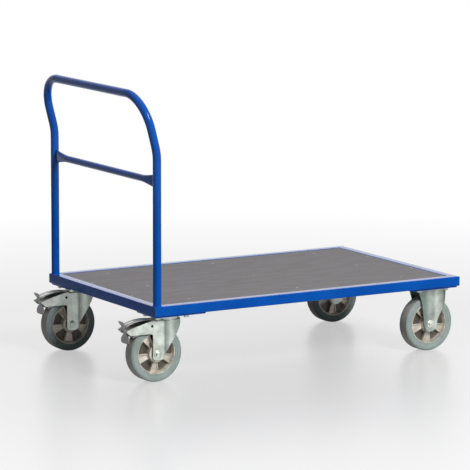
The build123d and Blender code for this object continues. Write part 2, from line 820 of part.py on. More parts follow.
screw_cone = deck_screw_head_radius - deck_screw_radius
with BuildPart() as deck_screw:
    with BuildSketch(Plane.XZ):
        with BuildLine():
            Polyline(
                (0, 0),
                (deck_screw_head_radius, 0),
                (deck_screw_radius, -screw_cone),
                (deck_screw_radius, -board_thickness),
                (0, -board_thickness),
                close=True,
            )
        make_face()
    revolve(axis=Axis.Z)
with BuildPart() as deck_screws:
    with Locations([(x, y, board_top) for x, y in deck_screw_places]):
        add(deck_screw.part)
keep(deck_screws.part, "deck_screws")

# ------------------------------------------------------------------ push handle

post_x = rear_end + rail_size / 2
post_y = rail_line
lean = radians(lean_angle)
lean_z = deck_height + lean_corner_height
grip_z = deck_height + grip_height
grip_x = post_x - (grip_height - lean_corner_height) * tan(lean)

with BuildPart() as push_handle:
    with BuildLine() as handle_line:
        FilletPolyline(
            (post_x, -post_y, deck_height),
            (post_x, -post_y, lean_z),
            (grip_x, -post_y, grip_z),
            (grip_x, post_y, grip_z),
            (post_x, post_y, lean_z),
            (post_x, post_y, deck_height),
            radius=[lean_bend_radius, grip_bend_radius, grip_bend_radius, lean_bend_radius],
        )
    with BuildSketch(Plane(origin=(post_x, -post_y, deck_height), z_dir=(0, 0, 1))):
        Circle(handle_radius)
        Circle(handle_radius - handle_wall, mode=Mode.SUBTRACT)
    sweep()
keep(push_handle.part, "push_handle")

crossbar_z = deck_height + crossbar_height


def crossbar_solid(round_radius, flat_thickness, flat_height):
    """A round bar along Y whose ends are pressed flat and tall where they meet the posts."""
    flare_start = post_y - handle_radius - crossbar_flare_length
    with BuildPart() as bar:
        for end in (-1, 1):
            stations = (
                (0, round_radius, round_radius),
                (crossbar_blend, round_radius / blend_height, round_radius * blend_height),
                (1, flat_thickness, flat_height),
            )
            for share, half_x, half_z in stations:
                y = end * (flare_start + share * (post_y - flare_start))
                section = Plane(origin=(post_x, y, crossbar_z), x_dir=(1, 0, 0), z_dir=(0, end, 0))
                with BuildSketch(section):
                    Ellipse(half_x, half_z) if half_x != half_z else Circle(half_x)
            loft()
        with BuildSketch(Plane(origin=(post_x, -flare_start, crossbar_z), z_dir=(0, 1, 0))):
            Circle(round_radius)
        extrude(amount=2 * flare_start)
    return bar.part


with BuildPart() as handle_crossbar:
    add(crossbar_solid(crossbar_radius, crossbar_flat_half_thickness, crossbar_flat_half_height))
    add(
        crossbar_solid(
            crossbar_radius - crossbar_wall,
            crossbar_flat_half_thickness - crossbar_wall,
            crossbar_flat_half_height - crossbar_wall,
        ),
        mode=Mode.SUBTRACT,
    )
    with Locations([(post_x, y, crossbar_z) for y in (-post_y, post_y)]):
        Cylinder(handle_radius, 3 * crossbar_flat_half_height, mode=Mode.SUBTRACT)
keep(handle_crossbar.part, "handle_crossbar")

with BuildPart() as weld_bead:
    with BuildSketch(Plane.XZ):
        with BuildLine():
            Polyline(
                (handle_radius, 0),
                (handle_radius + weld_size, 0),
                (handle_radius + weld_size * weld_crown, weld_size * weld_crown),
                (handle_radius, weld_size),
                close=True,
            )
        make_face()
    revolve(axis=Axis.Z)
with BuildPart() as handle_welds:
    with Locations([(post_x, y, deck_height) for y in (-post_y, post_y)]):
        add(weld_bead.part)
keep(handle_welds.part, "handle_welds")
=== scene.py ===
"""Looks of a flat platform cart: a welded blue tube frame with a film-faced plywood deck, a bent
tube push handle, two total-lock swivel castors at the handle and two fixed castors in front.

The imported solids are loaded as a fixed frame. Each operator below makes one piece, or one group
of like pieces, as surfaces worked out with numpy, and puts it where the frame says. Lengths are
millimetres and become metres in add_piece, and the lengths in the stage part are metres. X runs
forwards, Y to the left, Z up.
"""

import json
from math import cos, pi, radians, sin, tan

import bmesh
import bpy
import numpy as np
from bpy.props import FloatProperty, FloatVectorProperty, IntProperty, PointerProperty
from mathutils import Matrix, Vector


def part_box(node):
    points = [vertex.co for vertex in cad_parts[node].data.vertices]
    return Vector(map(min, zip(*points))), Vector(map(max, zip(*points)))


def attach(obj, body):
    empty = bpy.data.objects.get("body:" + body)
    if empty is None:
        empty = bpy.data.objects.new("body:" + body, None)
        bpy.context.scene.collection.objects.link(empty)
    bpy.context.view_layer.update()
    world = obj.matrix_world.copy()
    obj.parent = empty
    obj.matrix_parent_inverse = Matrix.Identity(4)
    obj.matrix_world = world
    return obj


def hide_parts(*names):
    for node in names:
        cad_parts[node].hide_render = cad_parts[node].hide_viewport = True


bl_info = {
    "name": "Platform cart",
    "version": (1, 0, 0),
    "blender": (4, 5, 0),
    "location": "View3D > Sidebar > Cart",
    "description": "Builds the visible surfaces of a workshop platform cart round its solids",
    "category": "Object",
}

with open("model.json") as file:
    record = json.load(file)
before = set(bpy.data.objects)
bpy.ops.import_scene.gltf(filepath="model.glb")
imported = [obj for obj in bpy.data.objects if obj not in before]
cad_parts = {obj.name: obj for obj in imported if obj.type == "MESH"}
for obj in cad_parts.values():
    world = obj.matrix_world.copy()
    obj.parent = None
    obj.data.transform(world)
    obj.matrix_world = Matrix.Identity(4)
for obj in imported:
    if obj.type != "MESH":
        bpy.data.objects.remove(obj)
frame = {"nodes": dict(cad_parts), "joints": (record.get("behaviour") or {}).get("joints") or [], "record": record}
MM = 0.001
JOINTS = {joint["name"]: joint for joint in frame["joints"]}
SWIVELS = ("rear_left", "rear_right")
FIXED = ("front_left", "front_right")
SMOOTH_ANGLE = radians(32)
FLAT_ANGLE = radians(0.5)
MERGE_REACH = 0.005 * MM
THINNEST = 0.001 * MM
EDGE_STEPS = 2
ALMOST_STRAIGHT = 0.999999
POINT_RADIUS = 0.02
TO_RIGHT = np.array([[1, 0, 0], [0, 0, -1], [0, 1, 0]])
TO_LEFT = np.array([[1, 0, 0], [0, 0, 1], [0, -1, 0]])
TO_FLOOR = np.array([[1, 0, 0], [0, -1, 0], [0, 0, -1]])


# ------------------------------------------------------------------ places read from the frame


def low(node):
    """Lowest corner of a solid, in millimetres."""
    return np.array(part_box(node)[0]) / MM


def high(node):
    """Highest corner of a solid, in millimetres."""
    return np.array(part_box(node)[1]) / MM


def middle(node):
    """Middle of a solid's box, in millimetres."""
    return (low(node) + high(node)) / 2


def joint_at(name):
    """Where a joint's axis is, in millimetres."""
    return np.array(JOINTS[name]["pos_m"]) / MM


def points_of(mesh):
    """A mesh's points, in millimetres."""
    points = np.empty(3 * len(mesh.vertices))
    mesh.vertices.foreach_get("co", points)
    return points.reshape(-1, 3) / MM


def cluster(points, reach):
    """Centres of groups of flat points that lie within a reach of each other, in a fixed order."""
    left = np.array(points)
    centres = []
    while len(left):
        near = np.linalg.norm(left - left[0], axis=1) < reach
        group = left[near]
        centres.append((group.min(0) + group.max(0)) / 2)
        left = left[~near]
    return np.array(sorted(centres, key=lambda centre: (round(centre[0]), round(centre[1]))))


def wheel_bodies():
    """Each wheel's name with the body it rides on and the middle of its axle."""
    for name in SWIVELS + FIXED:
        yield name, name.replace("_", " ") + " wheel", joint_at(f"{name}_roll")


def swivel_castors():
    """Each swivel castor's name, as written and in words, and its swivel axis on the floor."""
    for name in SWIVELS:
        yield name, name.replace("_", " "), joint_at(f"{name}_swivel") * (1, 1, 0)


RAIL = high("frame_rail_right")[2] - low("frame_rail_right")[2]
REAR_END, SIDE = low("frame_rail_rear")[0], high("frame_rail_left")[1]
FRONT_END = high("frame_rail_front")[0]
DECK_TOP, FRAME_BOTTOM = high("frame_rail_right")[2], low("frame_rail_right")[2]
AXLE_Z = joint_at("front_left_roll")[2]
CROWN_TOP = joint_at("rear_left_swivel")[2]
TRAIL = joint_at("rear_left_swivel")[0] - joint_at("rear_left_roll")[0]
WHEEL_RADIUS = high("front_right_tyre")[2] - AXLE_Z
LEG_OUTER = 34.0
SHEET = 4.0
POST_X, POST_Y = REAR_END + RAIL / 2, SIDE - RAIL / 2


# ------------------------------------------------------------------ outlines and surfaces


def rounded(points, radii, steps=6):
    """A closed outline with its corners rounded, as points in order.

    At each corner the arc's centre lies on the corner's bisector, at the radius over the sine of
    half the corner, and the arc's points turn evenly from one tangent point to the other."""
    corner = np.asarray(points, float)
    radius = np.broadcast_to(np.asarray(radii, float), len(corner))[:, None]
    to_last = np.roll(corner, 1, axis=0) - corner
    to_next = np.roll(corner, -1, axis=0) - corner
    to_last /= np.linalg.norm(to_last, axis=1, keepdims=True)
    to_next /= np.linalg.norm(to_next, axis=1, keepdims=True)
    cosine = np.clip((to_last * to_next).sum(1), -ALMOST_STRAIGHT, ALMOST_STRAIGHT)
    half = np.arccos(cosine)[:, None] / 2
    bisector = to_last + to_next
    bisector /= np.linalg.norm(bisector, axis=1, keepdims=True)
    centre = corner + bisector * radius / np.sin(half)
    first = corner + to_last * radius / np.tan(half) - centre
    last = corner + to_next * radius / np.tan(half) - centre
    turn = pi - 2 * half
    share = np.linspace(0, 1, steps)[None, :, None]
    turn = turn[:, None, :]
    arc = np.sin((1 - share) * turn) * first[:, None] + np.sin(share * turn) * last[:, None]
    return (centre[:, None] + arc / np.sin(turn)).reshape(-1, 2)


def grid(rows, columns, wrap_rows=False, wrap_columns=False):
    """Four-cornered faces of a grid of points in row order, closed round either way if asked."""
    row = np.arange(rows if wrap_rows else rows - 1)
    column = np.arange(columns if wrap_columns else columns - 1)
    row, column = np.meshgrid(row, column, indexing="ij")
    down, right = (row + 1) % rows, (column + 1) % columns
    here, below = row * columns, down * columns
    corners = (here + column, below + column, below + right, here + right)
    return np.stack(corners, axis=-1).reshape(-1, 4)


def circle(segments):
    """Angles spread evenly round a circle, the first at nought."""
    return np.linspace(0, 2 * pi, segments, endpoint=False)


def ring(radius, height, angle):
    """Points about the Z axis: x and y are the radius at each angle, z is the height."""
    places = [radius * np.cos(angle), radius * np.sin(angle), height + 0 * angle]
    return np.stack(places, axis=-1)


def end_caps(rings, count):
    """The two flat faces that close a row of rings of so many points, at its two ends."""
    first = np.arange(count)
    return [list(first), list((first + (rings - 1) * count)[::-1])]


def revolved(profile, segments):
    """A profile of (radius, across) points, closed on itself, turned about the Y axis."""
    radius, across = np.asarray(profile, float).T
    angle = circle(segments)[:, None]
    places = [radius * np.cos(angle), across + 0 * angle, radius * np.sin(angle)]
    return np.stack(places, axis=-1).reshape(-1, 3), grid(segments, len(radius), True, True)


def carried(profile, path, side, up):
    """A closed profile of (side, up) points carried along a path, with flat ends.

    side and up are the two unit directions of the profile's plane at each point of the path, so
    each point of the surface is path + side * profile x + up * profile y. profile may have one
    outline for all of the path or one for each of its points."""
    outline = np.asarray(profile, float)
    if outline.ndim == 2:
        outline = np.broadcast_to(outline, (len(path), *outline.shape))
    across = np.broadcast_to(np.asarray(side, float), (len(path), 3))[:, None]
    upward = np.broadcast_to(np.asarray(up, float), (len(path), 3))[:, None]
    points = np.asarray(path, float)[:, None] + across * outline[..., :1]
    points = points + upward * outline[..., 1:]
    rings, count = outline.shape[:2]
    faces = list(grid(rings, count, False, True)) + end_caps(rings, count)
    return points.reshape(-1, 3), faces


def shell(outer, inner):
    """A closed sheet between two grids of points of the same size, with its four edges filled."""
    rows, columns = outer.shape[:2]
    index = np.arange(rows * columns).reshape(rows, columns)
    faces = grid(rows, columns)
    edge = np.concatenate([index[0, :-1], index[:-1, -1], index[-1, :0:-1], index[:0:-1, 0]])
    after = np.roll(edge, -1)
    offset = rows * columns
    sides = np.stack([edge, after, after + offset, edge + offset], axis=-1)
    both = np.concatenate([faces, faces[:, ::-1] + offset, sides])
    return np.concatenate([outer.reshape(-1, 3), inner.reshape(-1, 3)]), both


def ruled(first, last, rows):
    """A grid of points on straight lines from one curve to another of as many points."""
    share = np.linspace(0, 1, rows)[:, None, None]
    return (1 - share) * np.asarray(first, float) + share * np.asarray(last, float)


def moved(surface, shift, turn=None):
    """A surface shifted, after it is turned by a 3 by 3 matrix."""
    points, faces = surface
    if turn is not None:
        points = points @ np.asarray(turn, float).T
    return points + np.asarray(shift, float), faces


def about_z(angle):
    """The matrix that turns by an angle about Z, from X towards Y."""
    return np.array([[cos(angle), -sin(angle), 0], [sin(angle), cos(angle), 0], [0, 0, 1]])


def slab(outline, first, last, side=(1, 0, 0), up=(0, 1, 0)):
    """A flat plate: an outline of (side, up) points carried straight from one point to another."""
    return carried(outline, np.array([first, last], float), side, up)


def disc_ring(inner, outer, low_z, high_z, edge=0.35, segments=96):
    """A flat ring about Z between two radii and two heights, with slightly rounded edges."""
    corners = [(outer, high_z), (inner, high_z), (inner, low_z), (outer, low_z)]
    points, faces = revolved(rounded(corners, edge, 3), segments)
    return points[:, [0, 2, 1]], faces


def soft_line(at, points, blur, samples=9):
    """Straight lines through points of (place, value), with each value averaged over a blur."""
    line = np.asarray(points, float)
    spread = np.linspace(-blur, blur, samples)
    return np.interp(np.asarray(at)[:, None] + spread, line[:, 0], line[:, 1]).mean(axis=1)


def bent(points, radius, steps=6):
    """An open line with its inner corners rounded, as in a closed outline, but not its ends."""
    line = np.asarray(points, float)
    return np.concatenate([line[:1], rounded(line, radius, steps)[steps:-steps], line[-1:]])


def travel(line):
    """How far along a line of points each of its points is."""
    return np.concatenate([[0], np.cumsum(np.linalg.norm(np.diff(line, axis=0), axis=1))])


def add_object(name, data):
    """Puts data into the scene as an object of a name."""
    made = bpy.data.objects.new(name, data)
    bpy.context.scene.collection.objects.link(made)
    return made


def add_piece(name, surfaces, material, body, stands_for, bevel=0.0):
    """Joins surfaces into one named mesh that rides on a body and stands for solids."""
    points, faces, start = [], [], 0
    for surface_points, surface_faces in surfaces:
        points.append(surface_points)
        faces += [[int(v) + start for v in face] for face in surface_faces]
        start += len(surface_points)
    mesh = bpy.data.meshes.new(name)
    mesh.from_pydata(np.concatenate(points) * MM, [], faces)
    work = merged(mesh)
    bmesh.ops.dissolve_degenerate(work, dist=THINNEST, edges=work.edges)
    bmesh.ops.recalc_face_normals(work, faces=work.faces)
    return finished(name, mesh, work, material, body, stands_for, bevel)


def eased_copy(node, name, material, body, bevel):
    """A copy of a solid with its flat faces made whole, so that its edges can be eased.

    The solid itself stays as it is and is replaced."""
    mesh = frame["nodes"][node].data.copy()
    mesh.materials.clear()
    work = merged(mesh)
    limits = {"angle_limit": FLAT_ANGLE, "delimit": set()}
    bmesh.ops.dissolve_limit(work, verts=work.verts, edges=work.edges, **limits)
    return finished(name, mesh, work, material, body, [node], bevel)


def merged(mesh):
    """A mesh opened for editing, with the points that meet merged into one."""
    work = bmesh.new()
    work.from_mesh(mesh)
    bmesh.ops.remove_doubles(work, verts=work.verts, dist=MERGE_REACH)
    return work


def finished(name, mesh, work, material, body, stands_for, bevel):
    """Takes an edit back into its mesh and adds the mesh to the scene as a finished piece."""
    work.to_mesh(mesh)
    work.free()
    mesh.shade_smooth()
    mesh.set_sharp_from_angle(angle=SMOOTH_ANGLE)
    mesh.materials.append(material)
    piece = add_object(name, mesh)
    if bevel:
        ease_edges(piece, bevel)
    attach(piece, body)
    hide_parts(*stands_for)
    return piece


def paint_shade_bands(piece, zero, places, shade_amounts):
    """Writes on each point how much painted shade it gets, by its distance ahead of zero in mm.

    The amount runs in straight steps from one of the places to the next."""
    band = np.interp(points_of(piece.data)[:, 0] - zero, places, shade_amounts)
    piece.data.attributes.new(BAND, "FLOAT", "POINT").data.foreach_set("value", band)


def ease_edges(piece, width):
    """Rounds a piece's sharp edges by a width in millimetres."""
    edge = piece.modifiers.new("eased edges", "BEVEL")
    edge.width = width * MM
    edge.segments = EDGE_STEPS
    edge.limit_method = "ANGLE"
    edge.angle_limit = SMOOTH_ANGLE
    edge.harden_normals = True


# ------------------------------------------------------------------ materials

PAINT_DEEP, PAINT_LIGHT = "#0048a0", "#0052ae"
POLISHED_HEIGHT, POLISH = (0.5, 0.7), (0.08, 0.26)
DECK_DEEP, DECK_LIGHT, DECK_DUST = "#524f51", "#666366", "#939094"
RUBBER, RUBBER_SHADE = "#97a4a4", "#86948f"
# paler tread tones: painted light, brightening the tread where the key light misses it
TREAD, TREAD_SHADE = "#b4b6af", "#a0a29b"
RIM_TONES, RIM_METALLIC = ("#969084", "#dcd7cb"), 0.3
# darker, duller tones for the web between the spokes: painted shade in the rim's recesses
SHADED_POCKET_TONES, SHADED_POCKET_METALLIC = ("#3b352f", "#574f47"), 0.1
ZINC_TONES = ("#9da49c", "#d2dad2")
# a darker zinc: painted shade for the brake leaves, which lie in shadow between the fork's arms; the deck screw
# heads take it too
LEAF_SHADE_TONES = ("#80847f", "#a9ada8")
PEDAL_TONES = ("#77757a", "#a09da0")
# the near-black tone is painted shade for the inside of the rivets' hollows
STEEL, BORE = "#8d8f8e", "#1c1b1a"
# the darker, bluer tone of painted shade on the pressings' bends
BAND, PAINTED_SHADE_TONE = "band", "#62706c"
WHITE = "#ffffff"
NOISE_SPAN = (0.3, 0.7)
WEAVE_SCALE = 19.98986


def linear(code):
    """An sRGB hex code as a linear colour: a straight line near black and a power above it."""
    channels = np.array([int(code[at : at + 2], 16) / 255 for at in (1, 3, 5)])
    power = ((channels + 0.055) / 1.055) ** 2.4
    return [*np.where(channels <= 0.04045, channels / 12.92, power).tolist(), 1.0]


def empty_tree(owner):
    """The node tree of a material or a world, with nothing in it."""
    owner.use_nodes = True
    owner.node_tree.nodes.clear()
    return owner.node_tree


def fill(tree, socket, value):
    """Links a socket to another one, or sets it to a value."""
    if isinstance(value, bpy.types.NodeSocket):
        tree.links.new(value, socket)
    else:
        socket.default_value = value


def add_node(tree, kind, inputs=None, **settings):
    """Adds a node. Settings are its own; each input is linked to a socket or set to a value."""
    made = tree.nodes.new(kind)
    for name, value in settings.items():
        setattr(made, name, value)
    for name, value in (inputs or {}).items():
        fill(tree, made.inputs[name], value)
    return made


def new_material(name, slot):
    """An empty material with its tree, its surface shader and the object's own coordinates."""
    material = bpy.data.materials.new(name)
    material["record_slot"] = slot
    tree = empty_tree(material)
    shader = add_node(tree, "ShaderNodeBsdfPrincipled")
    add_node(tree, "ShaderNodeOutputMaterial", {"Surface": shader.outputs["BSDF"]})
    place = add_node(tree, "ShaderNodeTexCoord").outputs["Object"]
    return material, tree, shader, place


def noise_at(tree, place, size_mm, detail, roughness=0.55):
    """Noise whose patches are about that many millimetres across, from 0 to 1."""
    inputs = {"Vector": place, "Scale": 1000 / size_mm, "Detail": detail, "Roughness": roughness}
    return add_node(tree, "ShaderNodeTexNoise", inputs).outputs["Fac"]


def between(tree, factor, span, ends=(0.0, 1.0)):
    """A number that runs from one end to the other as the factor runs over its span."""
    values = (factor, *span, *ends)
    inputs = dict(zip(("Value", "From Min", "From Max", "To Min", "To Max"), values))
    return add_node(tree, "ShaderNodeMapRange", inputs).outputs["Result"]


def reckon(tree, operation, first, second):
    """The result of one operation on two numbers, each a value or a socket."""
    made = add_node(tree, "ShaderNodeMath", {0: first, 1: second}, operation=operation)
    return made.outputs[0]


def shade(tree, factor, first, second):
    """A colour that runs with the factor between two others, each a hex code or a socket."""
    ends = [linear(value) if isinstance(value, str) else value for value in (first, second)]
    inputs = {0: factor, 6: ends[0], 7: ends[1]}
    return add_node(tree, "ShaderNodeMix", inputs, data_type="RGBA").outputs[2]


def bump(tree, shader, height, depth_mm, strength=1.0, under=None):
    """Raises the shader's surface by a height of so many millimetres."""
    inputs = {"Height": height, "Distance": depth_mm * MM, "Strength": strength}
    if under is not None:
        inputs["Normal"] = under
    made = add_node(tree, "ShaderNodeBump", inputs).outputs["Normal"]
    tree.links.new(made, shader.inputs["Normal"])
    return made


def set_shader(tree, shader, **values):
    """Sets or links the surface shader's inputs, by their names with underscores for spaces."""
    for name, value in values.items():
        fill(tree, shader.inputs[name.replace("_", " ")], value)


def powder_coat():
    """Polyester powder coat, sprayed and baked on steel tube, with a gloss that shows edge-on.

    It gives a full blue with a soft gloss and the faint orange peel that the powder leaves as it
    flows, about 2 mm across. It is a little duller where boards rub it, and hands have polished
    it high up on the handle, more and more from 0.5 to 0.7 m."""
    material, tree, shader, place = new_material("blue powder coat", "blue_paint")
    cloud = noise_at(tree, place, size_mm=140, detail=4)
    colour = shade(tree, between(tree, cloud, (0.35, 0.65)), PAINT_DEEP, PAINT_LIGHT)
    rub = between(tree, noise_at(tree, place, size_mm=24, detail=5), (0.3, 0.75), (0.2, 0.32))
    set_shader(tree, shader, Base_Color=colour, Roughness=rub, IOR=1.5, Specular_IOR_Level=0.03)
    edge_on = add_node(tree, "ShaderNodeLayerWeight").outputs["Facing"]
    height = add_node(tree, "ShaderNodeSeparateXYZ", {"Vector": place}).outputs["Z"]
    polish = between(tree, height, POLISHED_HEIGHT, POLISH)
    coat = reckon(tree, "MAXIMUM", polish, between(tree, edge_on, (0.5, 0.8)))
    set_shader(tree, shader, Coat_Weight=coat, Coat_Roughness=0.14)
    bump(tree, shader, noise_at(tree, place, size_mm=2.2, detail=1), depth_mm=0.02)
    return material


def plywood_film():
    """Birch plywood faced with a phenolic film that is pressed with a wire mesh against slipping.

    It gives a grey-brown, nearly matt deck with a woven grain, pale dust in the weave, and
    scuffs along the platform. A real mesh has a pitch of about 5 mm. This one is drawn three
    times as wide, at 15.7 mm, so that it shows: a wave texture repeats every 0.314 m over its
    scale."""
    material, tree, shader, place = new_material("film-faced plywood", "deck_board")
    stretch = add_node(tree, "ShaderNodeMapping", {"Vector": place, "Scale": (1.0, 5.0, 1.0)})
    along = noise_at(tree, stretch.outputs["Vector"], size_mm=120, detail=5, roughness=0.6)
    speck = noise_at(tree, place, size_mm=3.2, detail=2, roughness=0.7)
    tone = shade(tree, between(tree, along, NOISE_SPAN), DECK_DEEP, DECK_LIGHT)
    dust = between(tree, speck, (0.52, 0.72), (0.0, 0.55))
    dusty = shade(tree, dust, tone, DECK_DUST)
    waves = []
    for direction in ("X", "Y"):
        inputs = {"Vector": place, "Scale": WEAVE_SCALE, "Distortion": 0.6}
        wave = add_node(tree, "ShaderNodeTexWave", inputs, bands_direction=direction)
        waves.append(wave.outputs["Fac"])
    weave = reckon(tree, "MAXIMUM", *waves)
    rough = between(tree, speck, NOISE_SPAN, (0.5, 0.72))
    set_shader(tree, shader, Base_Color=dusty, Roughness=rough, IOR=1.5)
    under = bump(tree, shader, weave, depth_mm=0.12)
    bump(tree, shader, speck, depth_mm=0.25, strength=0.7, under=under)
    return material


def grey_rubber(name, tone, dark):
    """Elastic solid rubber, moulded, grey so that it leaves no marks on a floor.

    It gives a dull, slightly blue grey with cloudy mottling and a fine mould grain. The tread is
    a second finish of the same rubber, painted paler and a little yellower: painted light that
    brightens the tread where the key light misses it."""
    material, tree, shader, place = new_material(name, "grey_rubber")
    cloud = noise_at(tree, place, size_mm=30, detail=5, roughness=0.6)
    colour = shade(tree, between(tree, cloud, (0.32, 0.68)), dark, tone)
    set_shader(tree, shader, Base_Color=colour, IOR=1.52, Specular_IOR_Level=0.2)
    set_shader(tree, shader, Roughness=between(tree, cloud, NOISE_SPAN, (0.62, 0.8)))
    bump(tree, shader, noise_at(tree, place, size_mm=1.6, detail=3), depth_mm=0.06)
    return material


def cast_aluminium(name, tones, metallic):
    """Die-cast aluminium alloy, left as cast.

    It gives a pale, faintly warm grey that is satin and never mirror-like, with flow marks a few
    centimetres long and a grain of about 1 mm. The web between the spokes takes a dull, brown
    version of it: painted shade in the deep recesses there."""
    material, tree, shader, place = new_material(name, "cast_aluminium")
    flow = noise_at(tree, place, size_mm=26, detail=4, roughness=0.6)
    colour = shade(tree, between(tree, flow, NOISE_SPAN), *tones)
    set_shader(tree, shader, Base_Color=colour, Metallic=metallic)
    set_shader(tree, shader, Roughness=between(tree, flow, NOISE_SPAN, (0.42, 0.56)))
    bump(tree, shader, noise_at(tree, place, size_mm=1.3, detail=2), depth_mm=0.04)
    return material


def zinc_plate(name, tones):
    """Pressed sheet steel, bright zinc plated and passivated.

    It gives a pale grey metal with a hint of green, soft reflections, drawing lines that run up
    the pressing about 2 mm apart, and cloudy patches where the bath ran off. Where a piece has
    the attribute BAND it is painted darker and bluer: painted shade where its bends turn from the
    light."""
    material, tree, shader, place = new_material(name, "zinc_plated_steel")
    bath = noise_at(tree, place, size_mm=38, detail=5, roughness=0.6)
    stretch = add_node(tree, "ShaderNodeMapping", {"Vector": place, "Scale": (1.0, 1.0, 0.12)})
    drawn = noise_at(tree, stretch.outputs["Vector"], size_mm=2.4, detail=3, roughness=0.6)
    plain = shade(tree, between(tree, bath, NOISE_SPAN), *tones)
    band = add_node(tree, "ShaderNodeAttribute", attribute_name=BAND).outputs["Fac"]
    # painted shade: where the band attribute is set, the zinc runs to a darker, bluer tone
    colour = shade(tree, band, plain, PAINTED_SHADE_TONE)
    set_shader(tree, shader, Base_Color=colour, Metallic=0.8)
    set_shader(tree, shader, Roughness=between(tree, bath, (0.25, 0.75), (0.34, 0.5)))
    bump(tree, shader, drawn, depth_mm=0.03)
    return material


def coated_pressing():
    """Sheet steel with a dull grey dip coat, worn smoother where shoes press it.

    It gives a mid grey with little shine and small scuffs about 4 mm long."""
    material, tree, shader, place = new_material("grey dip-coated steel", "grey_coated_steel")
    scuff = noise_at(tree, place, size_mm=4.5, detail=5, roughness=0.7)
    colour = shade(tree, between(tree, scuff, (0.35, 0.7)), *PEDAL_TONES)
    set_shader(tree, shader, Base_Color=colour, Metallic=0.25)
    set_shader(tree, shader, Roughness=between(tree, scuff, NOISE_SPAN, (0.36, 0.55)))
    bump(tree, shader, scuff, depth_mm=0.05)
    return material


def ground_steel(name, slot, tone):
    """Turned and ground steel, lightly oiled, as in bearings, or near black as painted shade in a bore.

    It gives a darker, cleaner grey than the zinc, with fine turning marks about 1 mm apart."""
    material, tree, shader, place = new_material(name, slot)
    marks = noise_at(tree, place, size_mm=1.0, detail=2)
    set_shader(tree, shader, Base_Color=linear(tone), Metallic=1.0)
    set_shader(tree, shader, Roughness=between(tree, marks, NOISE_SPAN, (0.22, 0.38)))
    bump(tree, shader, marks, depth_mm=0.01)
    return material


MAKERS = {
    "paint": (powder_coat,),
    "deck": (plywood_film,),
    "rubber": (grey_rubber, "grey rubber sidewall", RUBBER, RUBBER_SHADE),
    "tread": (grey_rubber, "grey rubber tread, painted light", TREAD, TREAD_SHADE),
    "rim": (cast_aluminium, "die-cast aluminium", RIM_TONES, RIM_METALLIC),
    "pocket": (cast_aluminium, "die-cast aluminium, painted shade", SHADED_POCKET_TONES, SHADED_POCKET_METALLIC),
    "zinc": (zinc_plate, "zinc-plated steel", ZINC_TONES),
    "leaf": (zinc_plate, "zinc-plated steel, painted shade", LEAF_SHADE_TONES),
    "pedal": (coated_pressing,),
    "steel": (ground_steel, "ground bearing steel", "plain_steel", STEEL),
    "bore": (ground_steel, "rivet bore, painted shade", "zinc_plated_steel", BORE),
}
FINISHES = {}


def finish_of(name):
    """A finish, made the first time it is asked for."""
    if name not in FINISHES:
        make, *values = MAKERS[name]
        FINISHES[name] = make(*values)
    return FINISHES[name]


SLOT_FINISH = {
    "blue_paint": "paint",
    "deck_board": "deck",
    "grey_rubber": "rubber",
    "cast_aluminium": "rim",
    "zinc_plated_steel": "zinc",
    "grey_coated_steel": "pedal",
    "plain_steel": "steel",
}


# ------------------------------------------------------------------ sizes a user may change


class CartSizes(bpy.types.PropertyGroup):
    """Sizes of the made surfaces, in millimetres where no unit is given."""

    round_segments: IntProperty(
        name="Round segments",
        description="Faces round a wheel",
        default=128,
        min=32,
        max=512,
    )
    sheet_edge: FloatProperty(
        name="Sheet edge",
        description="Rounding left on the cut edges of pressed sheet, in millimetres",
        default=0.5,
        min=0.05,
        max=1.5,
    )
    rail_corner: FloatProperty(
        name="Rail corner",
        description="Outer corner radius of the square frame tube, in millimetres",
        default=3.0,
        min=0.5,
        max=8.0,
    )
    tread_groove: FloatProperty(
        name="Tread groove",
        description="Depth of the moulded lines in the tyre's sidewall, in millimetres",
        default=0.7,
        min=0.0,
        max=2.0,
    )
    key_colour: FloatVectorProperty(
        name="Key light colour",
        description="Colour of the main light",
        subtype="COLOR",
        default=(1.0, 0.99, 0.975),
        min=0.0,
        max=1.0,
    )


def sizes():
    """The sizes as the scene holds them."""
    return bpy.context.scene.cart_sizes


# ------------------------------------------------------------------ platform

RAIL_RINGS = ((-1, 1.0), (-1, 0.995), (1, 0.995), (1, 1.0))
SCREW_SPACE, TOP_SKIN = 25.0, 0.1
SCREW_POINTS, SCREW_RINGS = 72, 26
SCREW_RADIUS, SCREW_EDGE, SCREW_EDGE_DROP = 5.0, 0.4, 0.25
RECESS_RADIUS, RECESS_LOBE, RECESS_LOBES = 2.4, 0.45, 6
RECESS_DEPTH, RECESS_STEEPNESS = 2.0, 9
STEEPEST = 40
CONE_TOP, CONE_FOOT = (4.9, -0.4), (2.5, -11.9)
PROUD = 0.02


def mitred_rail(length, corner):
    """A square tube along X whose ends are cut at 45 degrees, its long face towards -Y.

    The section is a rounded square in Y and Z; at each end a point's X goes back from the long
    face by its own distance from that face, which is the mitre. There is one more ring of points
    close to each end."""
    half = RAIL / 2
    square = [(-half, -half), (half, -half), (half, half), (-half, half)]
    section = rounded(square, corner, 8)
    inset = section[:, 0] + half
    rows = []
    for end, share in RAIL_RINGS:
        x = end * (length / 2 * share - inset)
        rows.append(np.stack([x, section[:, 0], section[:, 1]], axis=-1))
    faces = list(grid(len(rows), len(section), False, True)) + end_caps(len(rows), len(section))
    return np.concatenate(rows), faces


